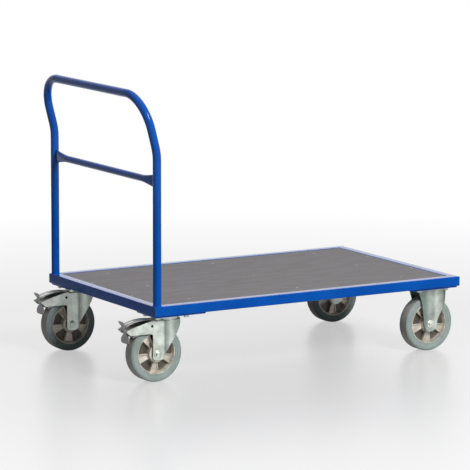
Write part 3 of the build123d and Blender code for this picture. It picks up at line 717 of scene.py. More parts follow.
class CART_OT_rails(bpy.types.Operator):
    """Makes the four mitred tubes of the platform frame."""

    bl_idname = "cart.rails"
    bl_label = "Frame rails"

    def execute(self, context):
        corner = sizes().rail_corner
        level = (DECK_TOP + FRAME_BOTTOM) / 2
        centre_x = (REAR_END + FRONT_END) / 2
        long_side = mitred_rail(FRONT_END - REAR_END, corner)
        short_side = mitred_rail(2 * SIDE, corner)
        inset = RAIL / 2
        places = {
            "right": (long_side, (centre_x, inset - SIDE, level), 0),
            "left": (long_side, (centre_x, SIDE - inset, level), pi),
            "rear": (short_side, (REAR_END + inset, 0, level), -pi / 2),
            "front": (short_side, (FRONT_END - inset, 0, level), pi / 2),
        }
        for name, (surface, place, turn) in places.items():
            rail, node = moved(surface, place, about_z(turn)), f"frame_rail_{name}"
            add_piece(f"rail_{name}", [rail], finish_of("paint"), "chassis", [node])
        return {"FINISHED"}


def deck_screw():
    """One countersunk screw, its head's face at z = 0 and its cone below.

    At each radius the recess is as deep as its full depth over one plus the exponential of a
    steepness times how far that radius is past the lobed outline, whose own radius is a circle's
    plus a cosine of six turns. The face's edge drops on a parabola."""
    angle = circle(SCREW_POINTS)[None, :]
    radius = np.linspace(POINT_RADIUS, SCREW_RADIUS, SCREW_RINGS)[:, None]
    lobe = RECESS_RADIUS + RECESS_LOBE * np.cos(RECESS_LOBES * angle)
    past = np.clip((radius - lobe) * RECESS_STEEPNESS, -STEEPEST, STEEPEST)
    depth = RECESS_DEPTH / (1 + np.exp(past))
    edge = np.clip((radius - SCREW_RADIUS + SCREW_EDGE) / SCREW_EDGE, 0, 1)
    face = ring(radius, -depth - SCREW_EDGE_DROP * edge**2 + PROUD, angle)
    rows = np.concatenate([face, ring(*CONE_TOP, angle), ring(*CONE_FOOT, angle)])
    caps = [cap[::-1] for cap in end_caps(len(rows), SCREW_POINTS)]
    return rows.reshape(-1, 3), list(grid(len(rows), SCREW_POINTS, False, True)) + caps


class CART_OT_deck_screws(bpy.types.Operator):
    """Makes the countersunk deck screws with their six-lobed recesses, each turned its own way."""

    bl_idname = "cart.deck_screws"
    bl_label = "Deck screws"

    def execute(self, context):
        points = points_of(frame["nodes"]["deck_screws"].data)
        top = points[points[:, 2] > points[:, 2].max() - TOP_SKIN, :2]
        centres = np.round(cluster(top, SCREW_SPACE), 1)
        level = high("deck_board")[2]
        screw = deck_screw()
        screws = [moved(screw, (x, y, level), about_z(x + y)) for x, y in centres]
        add_piece("deck_screw_heads", screws, finish_of("leaf"), "chassis", ["deck_screws"])
        return {"FINISHED"}


# ------------------------------------------------------------------ push handle

HANDLE_RADIUS = high("push_handle")[1] - POST_Y
TUBE_POINTS = 48
BEND_STEP = 6.0
LEAN_CORNER = 531.0
LEAN_RADIUS = 208.0
GRIP_RADIUS = 123.0
CROSSBAR_RADIUS = 12.5
CROSSBAR_FLARE = 85.0
CROSSBAR_FLAT, CROSSBAR_TALL = 5.0, 23.0
CROSSBAR_SWELL = 1.35
CROSSBAR_SQUARING = 1.6
CROSSBAR_INTO_POST = 4.0
CROSSBAR_STEPS, CROSSBAR_GAP = (24, 12), 20
WELD_RIPPLES, WELD_RIPPLE_DEPTH = 26, 0.12
WELD_STEPS, WELD_POINTS, WELD_INTO_TUBE = 8, 6, 0.5


def handle_path():
    """The handle's centre line from one foot to the other: straight runs joined by round bends.

    The runs go up the post, back along the lean and across at the grip. Each bend is an arc of
    its own radius set in the corner of two runs: its centre lies on the corner's bisector, at
    the radius over the sine of half the corner."""
    tube_low, tube_high = low("push_handle"), high("push_handle")
    foot = (POST_X, DECK_TOP)
    lean = (POST_X, DECK_TOP + LEAN_CORNER)
    grip = (tube_low[0] + HANDLE_RADIUS, tube_high[2] - HANDLE_RADIUS)
    up = [(x, -POST_Y, z) for x, z in (foot, lean, grip)]
    corners = np.array(up + [(x, -y, z) for x, y, z in up[::-1]])
    radii = (LEAN_RADIUS, GRIP_RADIUS, GRIP_RADIUS, LEAN_RADIUS)
    line = [corners[:1]]
    for last, corner, following, radius in zip(corners, corners[1:], corners[2:], radii):
        to_last = (last - corner) / np.linalg.norm(last - corner)
        to_next = (following - corner) / np.linalg.norm(following - corner)
        half = np.arccos(to_last @ to_next) / 2
        bisector = (to_last + to_next) / np.linalg.norm(to_last + to_next)
        centre = corner + bisector * radius / sin(half)
        first = corner + to_last * radius / tan(half) - centre
        final = corner + to_next * radius / tan(half) - centre
        turn = pi - 2 * half
        share = np.linspace(0, 1, int(radius * turn / BEND_STEP))[:, None]
        arc = np.sin((1 - share) * turn) * first + np.sin(share * turn) * final
        line.append(centre + arc / sin(turn))
    line.append(corners[-1:])
    return np.concatenate(line)


def tube_frames(path):
    """Two unit directions across a path at each of its points, turned as little as can be.

    The side direction at each point is the last one with its part along the path taken out."""
    along = np.gradient(path, axis=0)
    along /= np.linalg.norm(along, axis=1, keepdims=True)
    side = np.zeros_like(path)
    side[0] = (1, 0, 0)
    for at in range(1, len(path)):
        turned = side[at - 1] - along[at] * (side[at - 1] @ along[at])
        side[at] = turned / np.linalg.norm(turned)
    return side, np.cross(along, side)


class CART_OT_handle(bpy.types.Operator):
    """Makes the bent tube of the push handle."""

    bl_idname = "cart.handle"
    bl_label = "Push handle"

    def execute(self, context):
        path = handle_path()
        side, up = tube_frames(path)
        section = ring(HANDLE_RADIUS, 0, circle(TUBE_POINTS))[:, :2]
        tube = carried(section, path, side, up)
        add_piece("handle_tube", [tube], finish_of("paint"), "chassis", ["push_handle"])
        return {"FINISHED"}


class CART_OT_crossbar(bpy.types.Operator):
    """Makes the crossbar, round in the middle and pressed flat and tall against each post.

    Its section is a superellipse: (x / thin) to a power plus (z / tall) to the same power is one.
    The power is 2 along the round middle and grows over each flare, as the two sizes change."""

    bl_idname = "cart.crossbar"
    bl_label = "Crossbar"

    def execute(self, context):
        level = middle("handle_crossbar")[2]
        reach = POST_Y - HANDLE_RADIUS + CROSSBAR_INTO_POST
        flare_start = POST_Y - HANDLE_RADIUS - CROSSBAR_FLARE
        round_end = flare_start - CROSSBAR_GAP
        flare = np.linspace(flare_start, reach, CROSSBAR_STEPS[0])
        straight = np.linspace(-round_end, round_end, CROSSBAR_STEPS[1])
        y = np.concatenate([-flare[::-1], straight, flare])
        along = np.clip((np.abs(y) - flare_start) / CROSSBAR_FLARE, 0, 1)
        share = along**CROSSBAR_SWELL
        tall = CROSSBAR_RADIUS + (CROSSBAR_TALL - CROSSBAR_RADIUS) * share
        thin = CROSSBAR_RADIUS + (CROSSBAR_FLAT - CROSSBAR_RADIUS) * share
        power = 2 + CROSSBAR_SQUARING * share
        angle = circle(TUBE_POINTS)[None, :]
        wave_x = np.sign(np.cos(angle)) * np.abs(np.cos(angle)) ** (2 / power[:, None])
        wave_z = np.sign(np.sin(angle)) * np.abs(np.sin(angle)) ** (2 / power[:, None])
        section = np.stack([thin[:, None] * wave_x, tall[:, None] * wave_z], axis=-1)
        path = np.stack([np.full_like(y, POST_X), y, np.full_like(y, level)], axis=-1)
        bar = carried(section, path, (1, 0, 0), (0, 0, 1))
        add_piece("crossbar", [bar], finish_of("paint"), "chassis", ["handle_crossbar"])
        return {"FINISHED"}


def weld_ripple(radius, size, ripples):
    """A fillet weld round a tube: a bead whose size swells and shrinks once for each ripple.

    The bead's section is a quarter circle between the tube and the plate below it. Its radius at
    an angle is size times one less a share of how far the sine of half as many turns is from
    nought."""
    angle = circle(WELD_STEPS * ripples)[:, None]
    swell = size * (1 - WELD_RIPPLE_DEPTH * np.abs(np.sin(angle * ripples / 2)))
    bend = np.linspace(0, pi / 2, WELD_POINTS)[None, :]
    out = radius + swell * np.cos(bend)
    rise = swell * np.sin(bend)
    out = np.concatenate([out, np.full_like(angle, radius - WELD_INTO_TUBE)], axis=1)
    rise = np.concatenate([rise, np.zeros_like(angle)], axis=1)
    points = np.stack([out * np.cos(angle), out * np.sin(angle), rise], axis=-1)
    return points.reshape(-1, 3), grid(len(angle), points.shape[1], True, True)


class CART_OT_welds(bpy.types.Operator):
    """Makes the weld beads where the handle's posts stand on the frame."""

    bl_idname = "cart.welds"
    bl_label = "Weld beads"

    def execute(self, context):
        bead = weld_ripple(HANDLE_RADIUS, high("handle_welds")[2] - DECK_TOP, WELD_RIPPLES)
        beads = [moved(bead, (POST_X, y, DECK_TOP)) for y in (-POST_Y, POST_Y)]
        add_piece("handle_weld_beads", beads, finish_of("paint"), "chassis", ["handle_welds"])
        return {"FINISHED"}


# ------------------------------------------------------------------ wheels

TYRE_WIDTH = 50.0
TREAD_DEPTH = 1.6
CORNER_POINTS = 5
HUB_RADIUS = 30.0
HUB_HALF = 27.0
BORE_RADIUS = 21.0
LIP_RADIUS, SEAT_RADIUS, BARREL_HALF = 74.0, 70.0, 23.0
BARREL_INNER = 65.0
SPOKES = 5
SPOKE_HALF = radians(13)
SPOKE_DEPTH, SPOKE_FALL, SPOKE_POWER = 17.5, 3.5, 1.5
SPOKE_INTO_HUB, SPOKE_INTO_BARREL, SPOKE_STEPS = 1.0, 3.5, 12
SPOKE_EXTRA = 1.75
RIB_WIDTH, RIB_HEIGHT, RIB_SLOPE = 3.0, 3.5, 1.2
FIRST_SPOKE = radians(-94)
WEB_HALF, WEB_OVERLAP = 4.5, 2.0


def there_and_back(points):
    """An outline's right half followed by its mirror in the middle line, in order round it."""
    return points + [(out, -across) for out, across in points[::-1]]


def tyre_surface(groove):
    """The tyre's section turned about the axle: tread, rounded shoulders, sidewall band and seat.

    The tread is crowned, each sidewall has a raised band with a moulded line in it, and the
    inner edge lies on the rim's seat between its lips. The section is a closed line of corners,
    each rounded by the radius that follows it in the table."""
    half = TYRE_WIDTH / 2
    outer = WHEEL_RADIUS
    table = [
        ((outer, 0.0), 4),  # middle of the tread
        ((outer - 0.05, 6.0), 30),
        ((outer - 0.5, half - 3.5), 3.2),  # shoulder
        ((outer - 4.5, half), 2.4),
        ((95.0, half), 0.2),  # moulded line in the sidewall
        ((94.4, half - groove), 0.2),
        ((93.2, half - groove), 0.2),
        ((92.6, half), 0.2),
        ((84.8, half), 0.6),  # inner edge of the raised band
        ((83.0, half - 1.5), 0.8),
        ((75.6, half - 1.5), 0.4),  # bead beside the rim's lip
        ((74.7, half - 2.0), 0.3),
        ((74.2, half - 4.6), 0.3),
        ((SEAT_RADIUS, half - 5.0), 0.3),
    ]
    right = [corner for corner, _ in table]
    radii = [radius for _, radius in table]
    left = [(radius, -y) for radius, y in right[:0:-1]]
    outline = rounded(right + left, radii + radii[:0:-1], CORNER_POINTS)
    return revolved(outline, sizes().round_segments)


def rim_rings(segments):
    """The rim's barrel with its two lips, and the hub with its two bearing seats, each turned
    about the axle from a closed section of straight walls and small fillets."""
    lip, edge = LIP_RADIUS, BARREL_HALF
    outside = [(lip, edge), (lip, edge - 3), (SEAT_RADIUS, edge - 3.4)]
    inside = [(lip - 2.6, -edge), (BARREL_INNER + 1, -edge + 14)]
    barrel = there_and_back(outside) + there_and_back(inside)
    hub_wall = [(HUB_RADIUS, HUB_HALF - 1), (HUB_RADIUS + 1.5, 8)]
    hub_end = [(HUB_RADIUS - 1.2, -HUB_HALF), (BORE_RADIUS, -HUB_HALF)]
    hub = there_and_back(hub_wall) + there_and_back(hub_end)
    barrel_radii = [0.9, 0.6, 0.3, 0.3, 0.6, 0.9, 0.5, 5, 5, 0.5]
    hub_radii = [0.5, 3, 3, 0.5, 0.5, 0.4, 0.4, 0.5]
    sections = [rounded(barrel, barrel_radii, 4), rounded(hub, hub_radii, 4)]
    return [revolved(section, segments) for section in sections]


def spoke(direction):
    """One wide spoke, from the hub out to the barrel: a raised panel with a rib along each edge.

    Its section across is an H lying on its side, whose half width is the radius times the
    tangent of the spoke's half angle plus a little, and whose ribs stand deeper at the hub than
    at the barrel, by a power of the share of the way out."""
    start, stop = HUB_RADIUS - SPOKE_INTO_HUB, BARREL_INNER + SPOKE_INTO_BARREL
    radius = np.linspace(start, stop, SPOKE_STEPS)
    depth = SPOKE_DEPTH - SPOKE_FALL * np.linspace(0, 1, SPOKE_STEPS) ** SPOKE_POWER
    half = radius * tan(SPOKE_HALF) + SPOKE_EXTRA
    sections = []
    for width, deep in zip(half, depth):
        inner = width - RIB_WIDTH
        quarter = [(width, deep), (inner, deep), (inner - RIB_SLOPE, deep - RIB_HEIGHT)]
        right = quarter + [(-x, y) for x, y in quarter[::-1]]
        corners = right + [(-x, -y) for x, y in right]
        sections.append(rounded(corners, [0.8, 0.8, 1.2, 1.2, 0.8, 0.8] * 2, 4))
    along = np.array([cos(direction), 0, sin(direction)])
    across = np.array([-sin(direction), 0, cos(direction)])
    path = radius[:, None] * along
    return carried(np.array(sections), path, across, (0, 1, 0))


def rim_web(segments):
    """The closed web between the spokes, turned about the axle from its section: a thin disc
    that is thicker where it joins hub and barrel."""
    inner, outer, half = HUB_RADIUS - WEB_OVERLAP, BARREL_INNER + WEB_OVERLAP, WEB_HALF
    right = [(outer, half + 2), (outer - 5, half), (inner + 6, half), (inner, half + 2)]
    section = rounded(there_and_back(right), [0.3, 6, 6, 0.3] * 2, CORNER_POINTS)
    return revolved(section, segments)


class CART_OT_tyres(bpy.types.Operator):
    """Makes the four grey tyres."""

    bl_idname = "cart.tyres"
    bl_label = "Tyres"

    def execute(self, context):
        surface = tyre_surface(sizes().tread_groove)
        for name, body, axle in wheel_bodies():
            placed = [moved(surface, axle)]
            rubber = finish_of("rubber")
            tyre = add_piece(f"{name}_tyre_rubber", placed, rubber, body, [f"{name}_tyre"])
            # the tread's second finish is paler: painted light
            tyre.data.materials.append(finish_of("tread"))
            paint_tread(tyre.data, axle)
        return {"FINISHED"}


def paint_tread(mesh, axle):
    """Gives the tread's faces the second, paler finish of painted light: those within 1.6 mm of the outermost
    radius.
    """
    centres = np.empty(3 * len(mesh.polygons))
    mesh.polygons.foreach_get("center", centres)
    centres = centres.reshape(-1, 3) / MM - axle
    radius = np.hypot(centres[:, 0], centres[:, 2])
    index = (radius > WHEEL_RADIUS - TREAD_DEPTH).astype(np.int32)
    mesh.polygons.foreach_set("material_index", index)


class CART_OT_rims(bpy.types.Operator):
    """Makes the four cast rims with their five ribbed spokes."""

    bl_idname = "cart.rims"
    bl_label = "Rims"

    def execute(self, context):
        segments = sizes().round_segments
        surfaces = rim_rings(segments)
        surfaces += [spoke(FIRST_SPOKE + number * 2 * pi / SPOKES) for number in range(SPOKES)]
        web = rim_web(segments)
        for name, body, axle in wheel_bodies():
            placed = [moved(surface, axle) for surface in surfaces]
            add_piece(f"{name}_cast_rim", placed, finish_of("rim"), body, [f"{name}_rim"])
            # the web between the spokes takes the darker finish: painted shade in the recesses
            sunk = [moved(web, axle)]
            add_piece(f"{name}_rim_web", sunk, finish_of("pocket"), body, [f"{name}_rim"])
        return {"FINISHED"}


# ------------------------------------------------------------------ fasteners

HEXAGON_POINTS, CHAMFER_RINGS = 96, 7
FLANGE_CONE, FLANGE_EDGE = 0.8, 0.45
DOME = 0.05
CHAMFER_CIRCLE = 0.95
CHAMFER_SLOPE = tan(radians(30))
OVER_CORNERS = 1.1547
AXLE_RADIUS, AXLE_OVERHANG = 5.95, 12.5
CASTOR_SCREW_RADIUS = 4.95


def hexagon(across_flats, height, hole=0.0, flange=0.0, flange_height=0.0):
    """A hexagon head along +Z with a turned chamfer, from z = 0, with a round flange or a hole.

    Its radius at an angle is half the width across flats over the cosine of the angle from the
    nearest flat, cut off where a 30 degree cone reaches in from the top edge."""
    angle = circle(HEXAGON_POINTS)[None, :]
    flat = across_flats / 2 / np.cos((angle + pi / 6) % (pi / 3) - pi / 6)
    corner, top = across_flats / 2 * OVER_CORNERS, across_flats / 2 * CHAMFER_CIRCLE
    cone = corner - (corner - top) * np.linspace(0, 1, CHAMFER_RINGS)[:, None]
    drop = (cone - top) * CHAMFER_SLOPE
    rings = [(flat, flange_height), (np.minimum(flat, cone), height - drop)]
    if flange:
        edge, cone_foot = flange_height * FLANGE_EDGE, flange * FLANGE_CONE
        rings = [(flange, 0), (flange, edge), (cone_foot, flange_height)] + rings
    centre = max(hole, POINT_RADIUS)
    rings += [(centre, height + (0 if hole else DOME)), (centre, 0)]
    points = np.concatenate([ring(radius, z, angle) for radius, z in rings])
    return points.reshape(-1, 3), grid(len(points), points.shape[1], True, True)


def rod(radius, start, stop, chamfer=0.8):
    """A round rod along Z with chamfered ends, turned from its section."""
    angle = circle(TUBE_POINTS)[None, :]
    rings = (
        (POINT_RADIUS, start),
        (radius - chamfer, start),
        (radius, start + chamfer),
        (radius, stop - chamfer),
        (radius - chamfer, stop),
        (POINT_RADIUS, stop),
    )
    points = np.concatenate([ring(out, z, angle) for out, z in rings])
    return points.reshape(-1, 3), grid(len(rings), TUBE_POINTS, True, True)


class CART_OT_axles(bpy.types.Operator):
    """Makes the flanged axle bolts and their nuts."""

    bl_idname = "cart.axles"
    bl_label = "Axle bolts and nuts"

    def execute(self, context):
        head = hexagon(across_flats=18, height=8, flange=14, flange_height=2.5)
        nut = hexagon(across_flats=18, height=10, hole=5.9)
        shank = rod(AXLE_RADIUS, -2 * LEG_OUTER - AXLE_OVERHANG, 1)
        for name, body, axle in wheel_bodies():
            holder = body.replace("wheel", "swivel") if name in SWIVELS else "chassis"
            right = axle - (0, LEG_OUTER, 0)
            left = axle + (0, LEG_OUTER, 0)
            bolt = [moved(head, right, TO_RIGHT), moved(shank, right, TO_RIGHT)]
            add_piece(f"{name}_axle_head", bolt, finish_of("zinc"), holder, [f"{name}_axle_bolt"])
            nuts = [moved(nut, left, TO_LEFT)]
            add_piece(f"{name}_nut", nuts, finish_of("zinc"), holder, [f"{name}_axle_nut"])
        return {"FINISHED"}


class CART_OT_castor_screws(bpy.types.Operator):
    """Makes the sixteen hexagon screws that hold the castors. Their washers stay as solids."""

    bl_idname = "cart.castor_screws"
    bl_label = "Castor screws"

    def execute(self, context):
        washers = points_of(frame["nodes"]["castor_washers"].data)
        centres = cluster(washers[:, :2], SCREW_SPACE)
        under = low("castor_washers")[2]
        head = hexagon(across_flats=16, height=6)
        shank = rod(CASTOR_SCREW_RADIUS, under - high("castor_screws")[2], 1, chamfer=0.6)
        screws = []
        for x, y in centres:
            screws += [moved(head, (x, y, under), TO_FLOOR), moved(shank, (x, y, under), TO_FLOOR)]
        add_piece("castor_screw_heads", screws, finish_of("zinc"), "chassis", ["castor_screws"])
        return {"FINISHED"}


# ------------------------------------------------------------------ swivel forks

HOOD_START = 27.5 - TRAIL
HOOD_RADIUS = 250.0
HOOD_TURN = radians(12.3)
HOOD_TIP = (LEG_OUTER - HOOD_RADIUS * (1 - cos(HOOD_TURN))) / cos(HOOD_TURN)
HOOD_LENGTH = HOOD_RADIUS * HOOD_TURN + HOOD_TIP * (pi / 2 - HOOD_TURN)
HOOD_POINTS = 30
HOOD_FOOT = (-TRAIL + 30.0, AXLE_Z - 1.5)
HOOD_BOW = (-TRAIL + 60.5, AXLE_Z + 41.0)
NOSE_AHEAD, NOSE_DROP = 1.0, 6.0
DIP, DIP_IN, DIP_HOLD, DIP_OUT = 3.5, 9.0, 24.0, 30.0
ARM_ARC_START = -55.0
ARM_END = -TRAIL - 124.0
ARM_CUT = 17.0
ARM_BOTTOM = CROWN_TOP - 45.0
ARM_DROP = 30.0
LEG_REAR, LEG_FRONT = -TRAIL - 19.5, -TRAIL + 20.0
LEG_BOTTOM = AXLE_Z - 21.0
WELL_ABOVE = 400.0
WALL_ROWS, CROWN_COLUMNS, SHOULDER_ROWS = 10, 6, 7
CORNER_STEPS = 9
CORNER_RADII = (0.1, 0.6, 3.0, 11.0, 11.0, 11.0, 0.1, 0.1)
UPPER_MARKS = (
    (0.0, ARM_END),
    (22.0, ARM_END + ARM_CUT),
    (98.5, LEG_REAR - 12),
    (193.5, LEG_REAR + 4),
    (234.5, LEG_FRONT - 6),
)
CROWN_REAR = -62.0
SHOULDER = 5.0
NEARLY_NOUGHT = 1e-6
RACE_INNER, RACE_OUTER, RACE_SUNK = 29.0, 37.0, 0.5
# painted shade on the hood, by mm ahead of its start: darkest just past the crease, lightest near 27 mm, darker
# again towards the nose
HOOD_SHADE_BANDS = (
    (-1.0, 0.5, 3.0, 6.0, 14.0, 20.0, 27.0, 32.0, 42.0, 60.0),
    (0.0, 0.95, 0.75, 0.55, 0.5, 0.15, 0.0, 0.1, 0.5, 0.55),
)


def hood_plan(distance):
    """The fork's plan on its left side, by the distance along it ahead of the hood's start.

    Behind the start it is straight; ahead, it turns on the side radius and then on the tip
    radius until it meets the middle. A smooth step of DIP millimetres sets the hood in from the
    leg and fades before the nose. Returns x, y and the angle that the wall has turned."""
    on_side = np.clip(distance, 0, HOOD_RADIUS * HOOD_TURN) / HOOD_RADIUS
    on_tip = np.clip(distance - HOOD_RADIUS * HOOD_TURN, 0, None) / HOOD_TIP
    turn = on_side + on_tip
    x = HOOD_START + np.minimum(distance, 0) + HOOD_RADIUS * np.sin(on_side)
    y = LEG_OUTER - HOOD_RADIUS * (1 - np.cos(on_side))
    x = x + HOOD_TIP * (np.sin(turn) - np.sin(on_side))
    y = y - HOOD_TIP * (np.cos(on_side) - np.cos(turn))
    into = np.clip(distance / DIP_IN, 0, 1)
    out = np.clip((distance - DIP_HOLD) / DIP_OUT, 0, 1)
    dip = DIP * (into**2 * (3 - 2 * into) - out**2 * (3 - 2 * out))
    slope = DIP * 6 * (into * (1 - into) / DIP_IN - out * (1 - out) / DIP_OUT)
    x, y = x - dip * np.sin(turn), y - dip * np.cos(turn)
    return x, y, turn + np.arctan(slope)


def arm_top(x):
    """Height of the fork's top edge: level, then falling on an arc to the end of the arms."""
    run = ARM_ARC_START - ARM_END
    radius = (run**2 + ARM_DROP**2) / (2 * ARM_DROP)
    back = np.clip(ARM_ARC_START - x, 0, run)
    return CROWN_TOP - radius + np.sqrt(radius**2 - back**2)


def arc_height(x, first, middle_point, last):
    """Height above x on the lower side of the circle through three points of the side view.

    The centre is where the lines across the middles of two chords meet."""
    start, mid, stop = (np.array(point) for point in (first, middle_point, last))
    sides = 2 * np.array([mid - start, stop - mid])
    centre = np.linalg.solve(sides, np.array([mid @ mid - start @ start, stop @ stop - mid @ mid]))
    radius = np.linalg.norm(start - centre)
    return centre[1] - np.sqrt(radius**2 - (x - centre[0]) ** 2)


def hood_edge(x):
    """Height of the hood's front edge: straight up from the leg's foot, then bowed to the nose."""
    foot_x, foot_z = HOOD_FOOT
    nose = (hood_plan(HOOD_LENGTH)[0] + NOSE_AHEAD, CROWN_TOP - NOSE_DROP)
    slope = (foot_z - LEG_BOTTOM) / (foot_x - LEG_FRONT)
    straight = LEG_BOTTOM + slope * (x - LEG_FRONT)
    bowed = arc_height(np.maximum(x, foot_x), HOOD_FOOT, HOOD_BOW, nose)
    return np.where(x < foot_x, straight, bowed)


def fork_outline():
    """The lower edge of the fork's left wall, from the arm's end round the leg to the nose.

    Returns the distance along the plan and the height of each point, and the distance of the
    point of the upper edge that it is joined to by a straight line. Behind the hood that point
    is found between marks, each of a travel along the lower edge and an x of the upper one."""
    foot_x = HOOD_FOOT[0]
    corners = [
        (ARM_END, WELL_ABOVE),
        (ARM_END, float(arm_top(ARM_END))),
        (ARM_END + ARM_CUT, ARM_BOTTOM),
        (LEG_REAR, ARM_BOTTOM),
        (LEG_REAR, LEG_BOTTOM),
        (LEG_FRONT, LEG_BOTTOM),
        (foot_x, float(hood_edge(foot_x))),
        (foot_x, WELL_ABOVE),
    ]
    curve = rounded(corners, CORNER_RADII, CORNER_STEPS)[CORNER_STEPS : -2 * CORNER_STEPS]
    curve = curve[curve[:, 0] < HOOD_START - 1.0]
    hood = np.linspace(0.0, HOOD_LENGTH, HOOD_POINTS)
    lower_hood = np.stack([hood, hood_edge(hood_plan(hood)[0])], axis=-1)
    lower = np.concatenate([curve - (HOOD_START, 0), lower_hood])
    travelled = travel(lower)
    hood_from = len(lower) - len(hood)
    marks = np.array([*UPPER_MARKS, (travelled[hood_from], HOOD_START)])
    upper = np.interp(travelled, marks[:, 0], marks[:, 1] - HOOD_START)
    upper[hood_from:] = hood
    return lower, upper


def fork_wall():
    """The fork's pressed wall, from one arm's end round the nose to the other's, 4 mm thick.

    Straight lines join the lower edge to the upper one on the unrolled sheet, and the sheet is
    then bent to the plan: x and y follow hood_plan, and the inner face is one thickness in."""
    lower, upper = fork_outline()
    upper_x = hood_plan(upper)[0]
    under_crown = CROWN_TOP - SHOULDER
    upper_z = np.where(upper_x > CROWN_REAR + 1, under_crown, arm_top(upper_x))
    flat = ruled(lower, np.stack([upper, upper_z], axis=-1), WALL_ROWS)
    x, y, turn = hood_plan(flat[..., 0])
    outer = np.stack([x, y, flat[..., 1]], axis=-1)
    normal = np.stack([np.sin(turn), np.cos(turn), 0 * turn], axis=-1)
    inner = outer - SHEET * normal
    other = (1, -1, 1)
    whole = [np.concatenate([face, (face * other)[:, -2::-1]], axis=1) for face in (outer, inner)]
    return shell(*whole)


def fork_crown():
    """The fork's flat crown with its pressed shoulder.

    At each point of the plan the section runs up a quarter circle and then level to the middle
    line, along the plan's own normal; the underside is the same, one thickness in."""
    behind = np.linspace(CROWN_REAR - HOOD_START, 0, CROWN_COLUMNS)[:-1]
    ahead = np.linspace(0, HOOD_LENGTH, HOOD_POINTS)
    x, y, turn = hood_plan(np.concatenate([behind, ahead]))
    normal = np.stack([np.sin(turn), np.cos(turn), 0 * turn], axis=-1)
    edge = np.stack([x, y, 0 * x], axis=-1)
    reach = y / np.maximum(np.cos(turn), NEARLY_NOUGHT)
    reach[-1] = HOOD_TIP
    bend = np.linspace(0, pi / 2, SHOULDER_ROWS)
    grids = []
    for thickness in (0.0, SHEET):
        radius = SHOULDER - thickness
        depth = np.concatenate([SHOULDER - radius * np.cos(bend), [0.0, 0.0]])
        drop = np.concatenate([SHOULDER - radius * np.sin(bend), [thickness, thickness]])
        depth = np.broadcast_to(depth[:, None], (len(depth), len(x))).copy()
        depth[-2] = (SHOULDER + reach) / 2
        depth[-1] = reach
        point = edge[None] - normal[None] * depth[..., None]
        point[..., 2] = CROWN_TOP - drop[:, None]
        mirror = point * (1, -1, 1)
        grids.append(np.concatenate([point, mirror[-2::-1]], axis=0))
    return shell(*grids)


class CART_OT_forks(bpy.types.Operator):
    """Makes the pressed forks of the swivel castors."""

    bl_idname = "cart.forks"
    bl_label = "Swivel forks"

    def execute(self, context):
        race_top = high("rear_left_fork")[2]
        race = disc_ring(RACE_INNER, RACE_OUTER, CROWN_TOP - RACE_SUNK, race_top)
        surfaces = [fork_wall(), fork_crown(), race]
        for name, words, place in swivel_castors():
            placed = [moved(surface, place) for surface in surfaces]
            piece, body, node = f"{name}_fork_pressing", f"{words} swivel", f"{name}_fork"
            piece = add_piece(piece, placed, finish_of("zinc"), body, [node], sizes().sheet_edge)
            paint_shade_bands(piece, place[0] + HOOD_START, *HOOD_SHADE_BANDS)
        return {"FINISHED"}


# ------------------------------------------------------------------ brakes

PIVOT_X, PIVOT_Z = -TRAIL - 23.0, CROWN_TOP - 18.0
PAD_X, PAD_TOP = -TRAIL - WHEEL_RADIUS - 10.0, CROWN_TOP - 43.0
PAD_FOOT, STEM_TOP, TAB_TOP = PAD_TOP - 33.0, PAD_TOP + 29.0, PAD_TOP + 45.0
PAD_HALF, STEM_HALF, TAB_HALF = 27.5, 8.0, 18.0
PAD_ROUND, TAB_ROUND = 10.0, 2.5
RIVET_INNER, RIVET_POINTS = 25.6, 48
LEAF_EDGE = 0.3
PLATE, PLATE_ROWS, PLATE_COLUMNS = 3.0, 90, 15
EYE = 8.5
CHEEK_INNER, CHEEK_OUTER = 25.4, 28.4
BRIDGE = PAD_TOP + 8.0
BRIDGE_REAR, BRIDGE_FRONT = PAD_X - 3.0, PAD_X + 12.0
CHEEK_TOP = ((-122.0, 207.0), (-158.0, 192.0))
CHEEK_UNDER = (-136.0, 165.0)
CHEEK_RADII = (8.4, 60.0, 9.0, 1.5, 16.0, 20.0, 8.4)


def pedal_plate():
    """The pedal's pressed plate: foot pad, narrow stem and release tab, 3 mm thick.

    Its centre line is a bent line in the side view. At each level the plate reaches a half width
    to both sides, which follows straight lines and ends in a rounded corner at foot and top."""
    foot, top = (PAD_X - 2, PAD_FOOT), (PAD_X - 18, TAB_TOP)
    line = bent([foot, (PAD_X, PAD_TOP), (PAD_X - 11, STEM_TOP), top], 5.0)
    travelled = travel(line)
    even = np.linspace(0, travelled[-1], PLATE_ROWS)
    x, z = (np.interp(even, travelled, line[:, axis]) for axis in (0, 1))
    levels = [
        (PAD_FOOT, PAD_HALF),
        (PAD_FOOT + 18, PAD_HALF),
        (PAD_TOP + 5, STEM_HALF),
        (STEM_TOP, STEM_HALF),
        (TAB_TOP - 7, TAB_HALF),
        (TAB_TOP, TAB_HALF),
    ]
    half = soft_line(z, levels, 2.0)
    for radius, gap in ((PAD_ROUND, z - PAD_FOOT), (TAB_ROUND, TAB_TOP - z)):
        into = np.clip(radius - gap, 0, radius)
        half = half - (radius - np.sqrt(radius**2 - into**2))
    slope = np.stack([np.gradient(x), np.gradient(z)], axis=-1)
    slope /= np.linalg.norm(slope, axis=1, keepdims=True)
    share = np.linspace(-1, 1, PLATE_COLUMNS)[None, :]
    grids = []
    for offset in (-PLATE / 2, PLATE / 2):
        level = 0 * share
        away_x = (x + offset * slope[:, 1])[:, None] + level
        away_z = (z - offset * slope[:, 0])[:, None] + level
        grids.append(np.stack([away_x, half[:, None] * share, away_z], axis=-1))
    return shell(*grids)


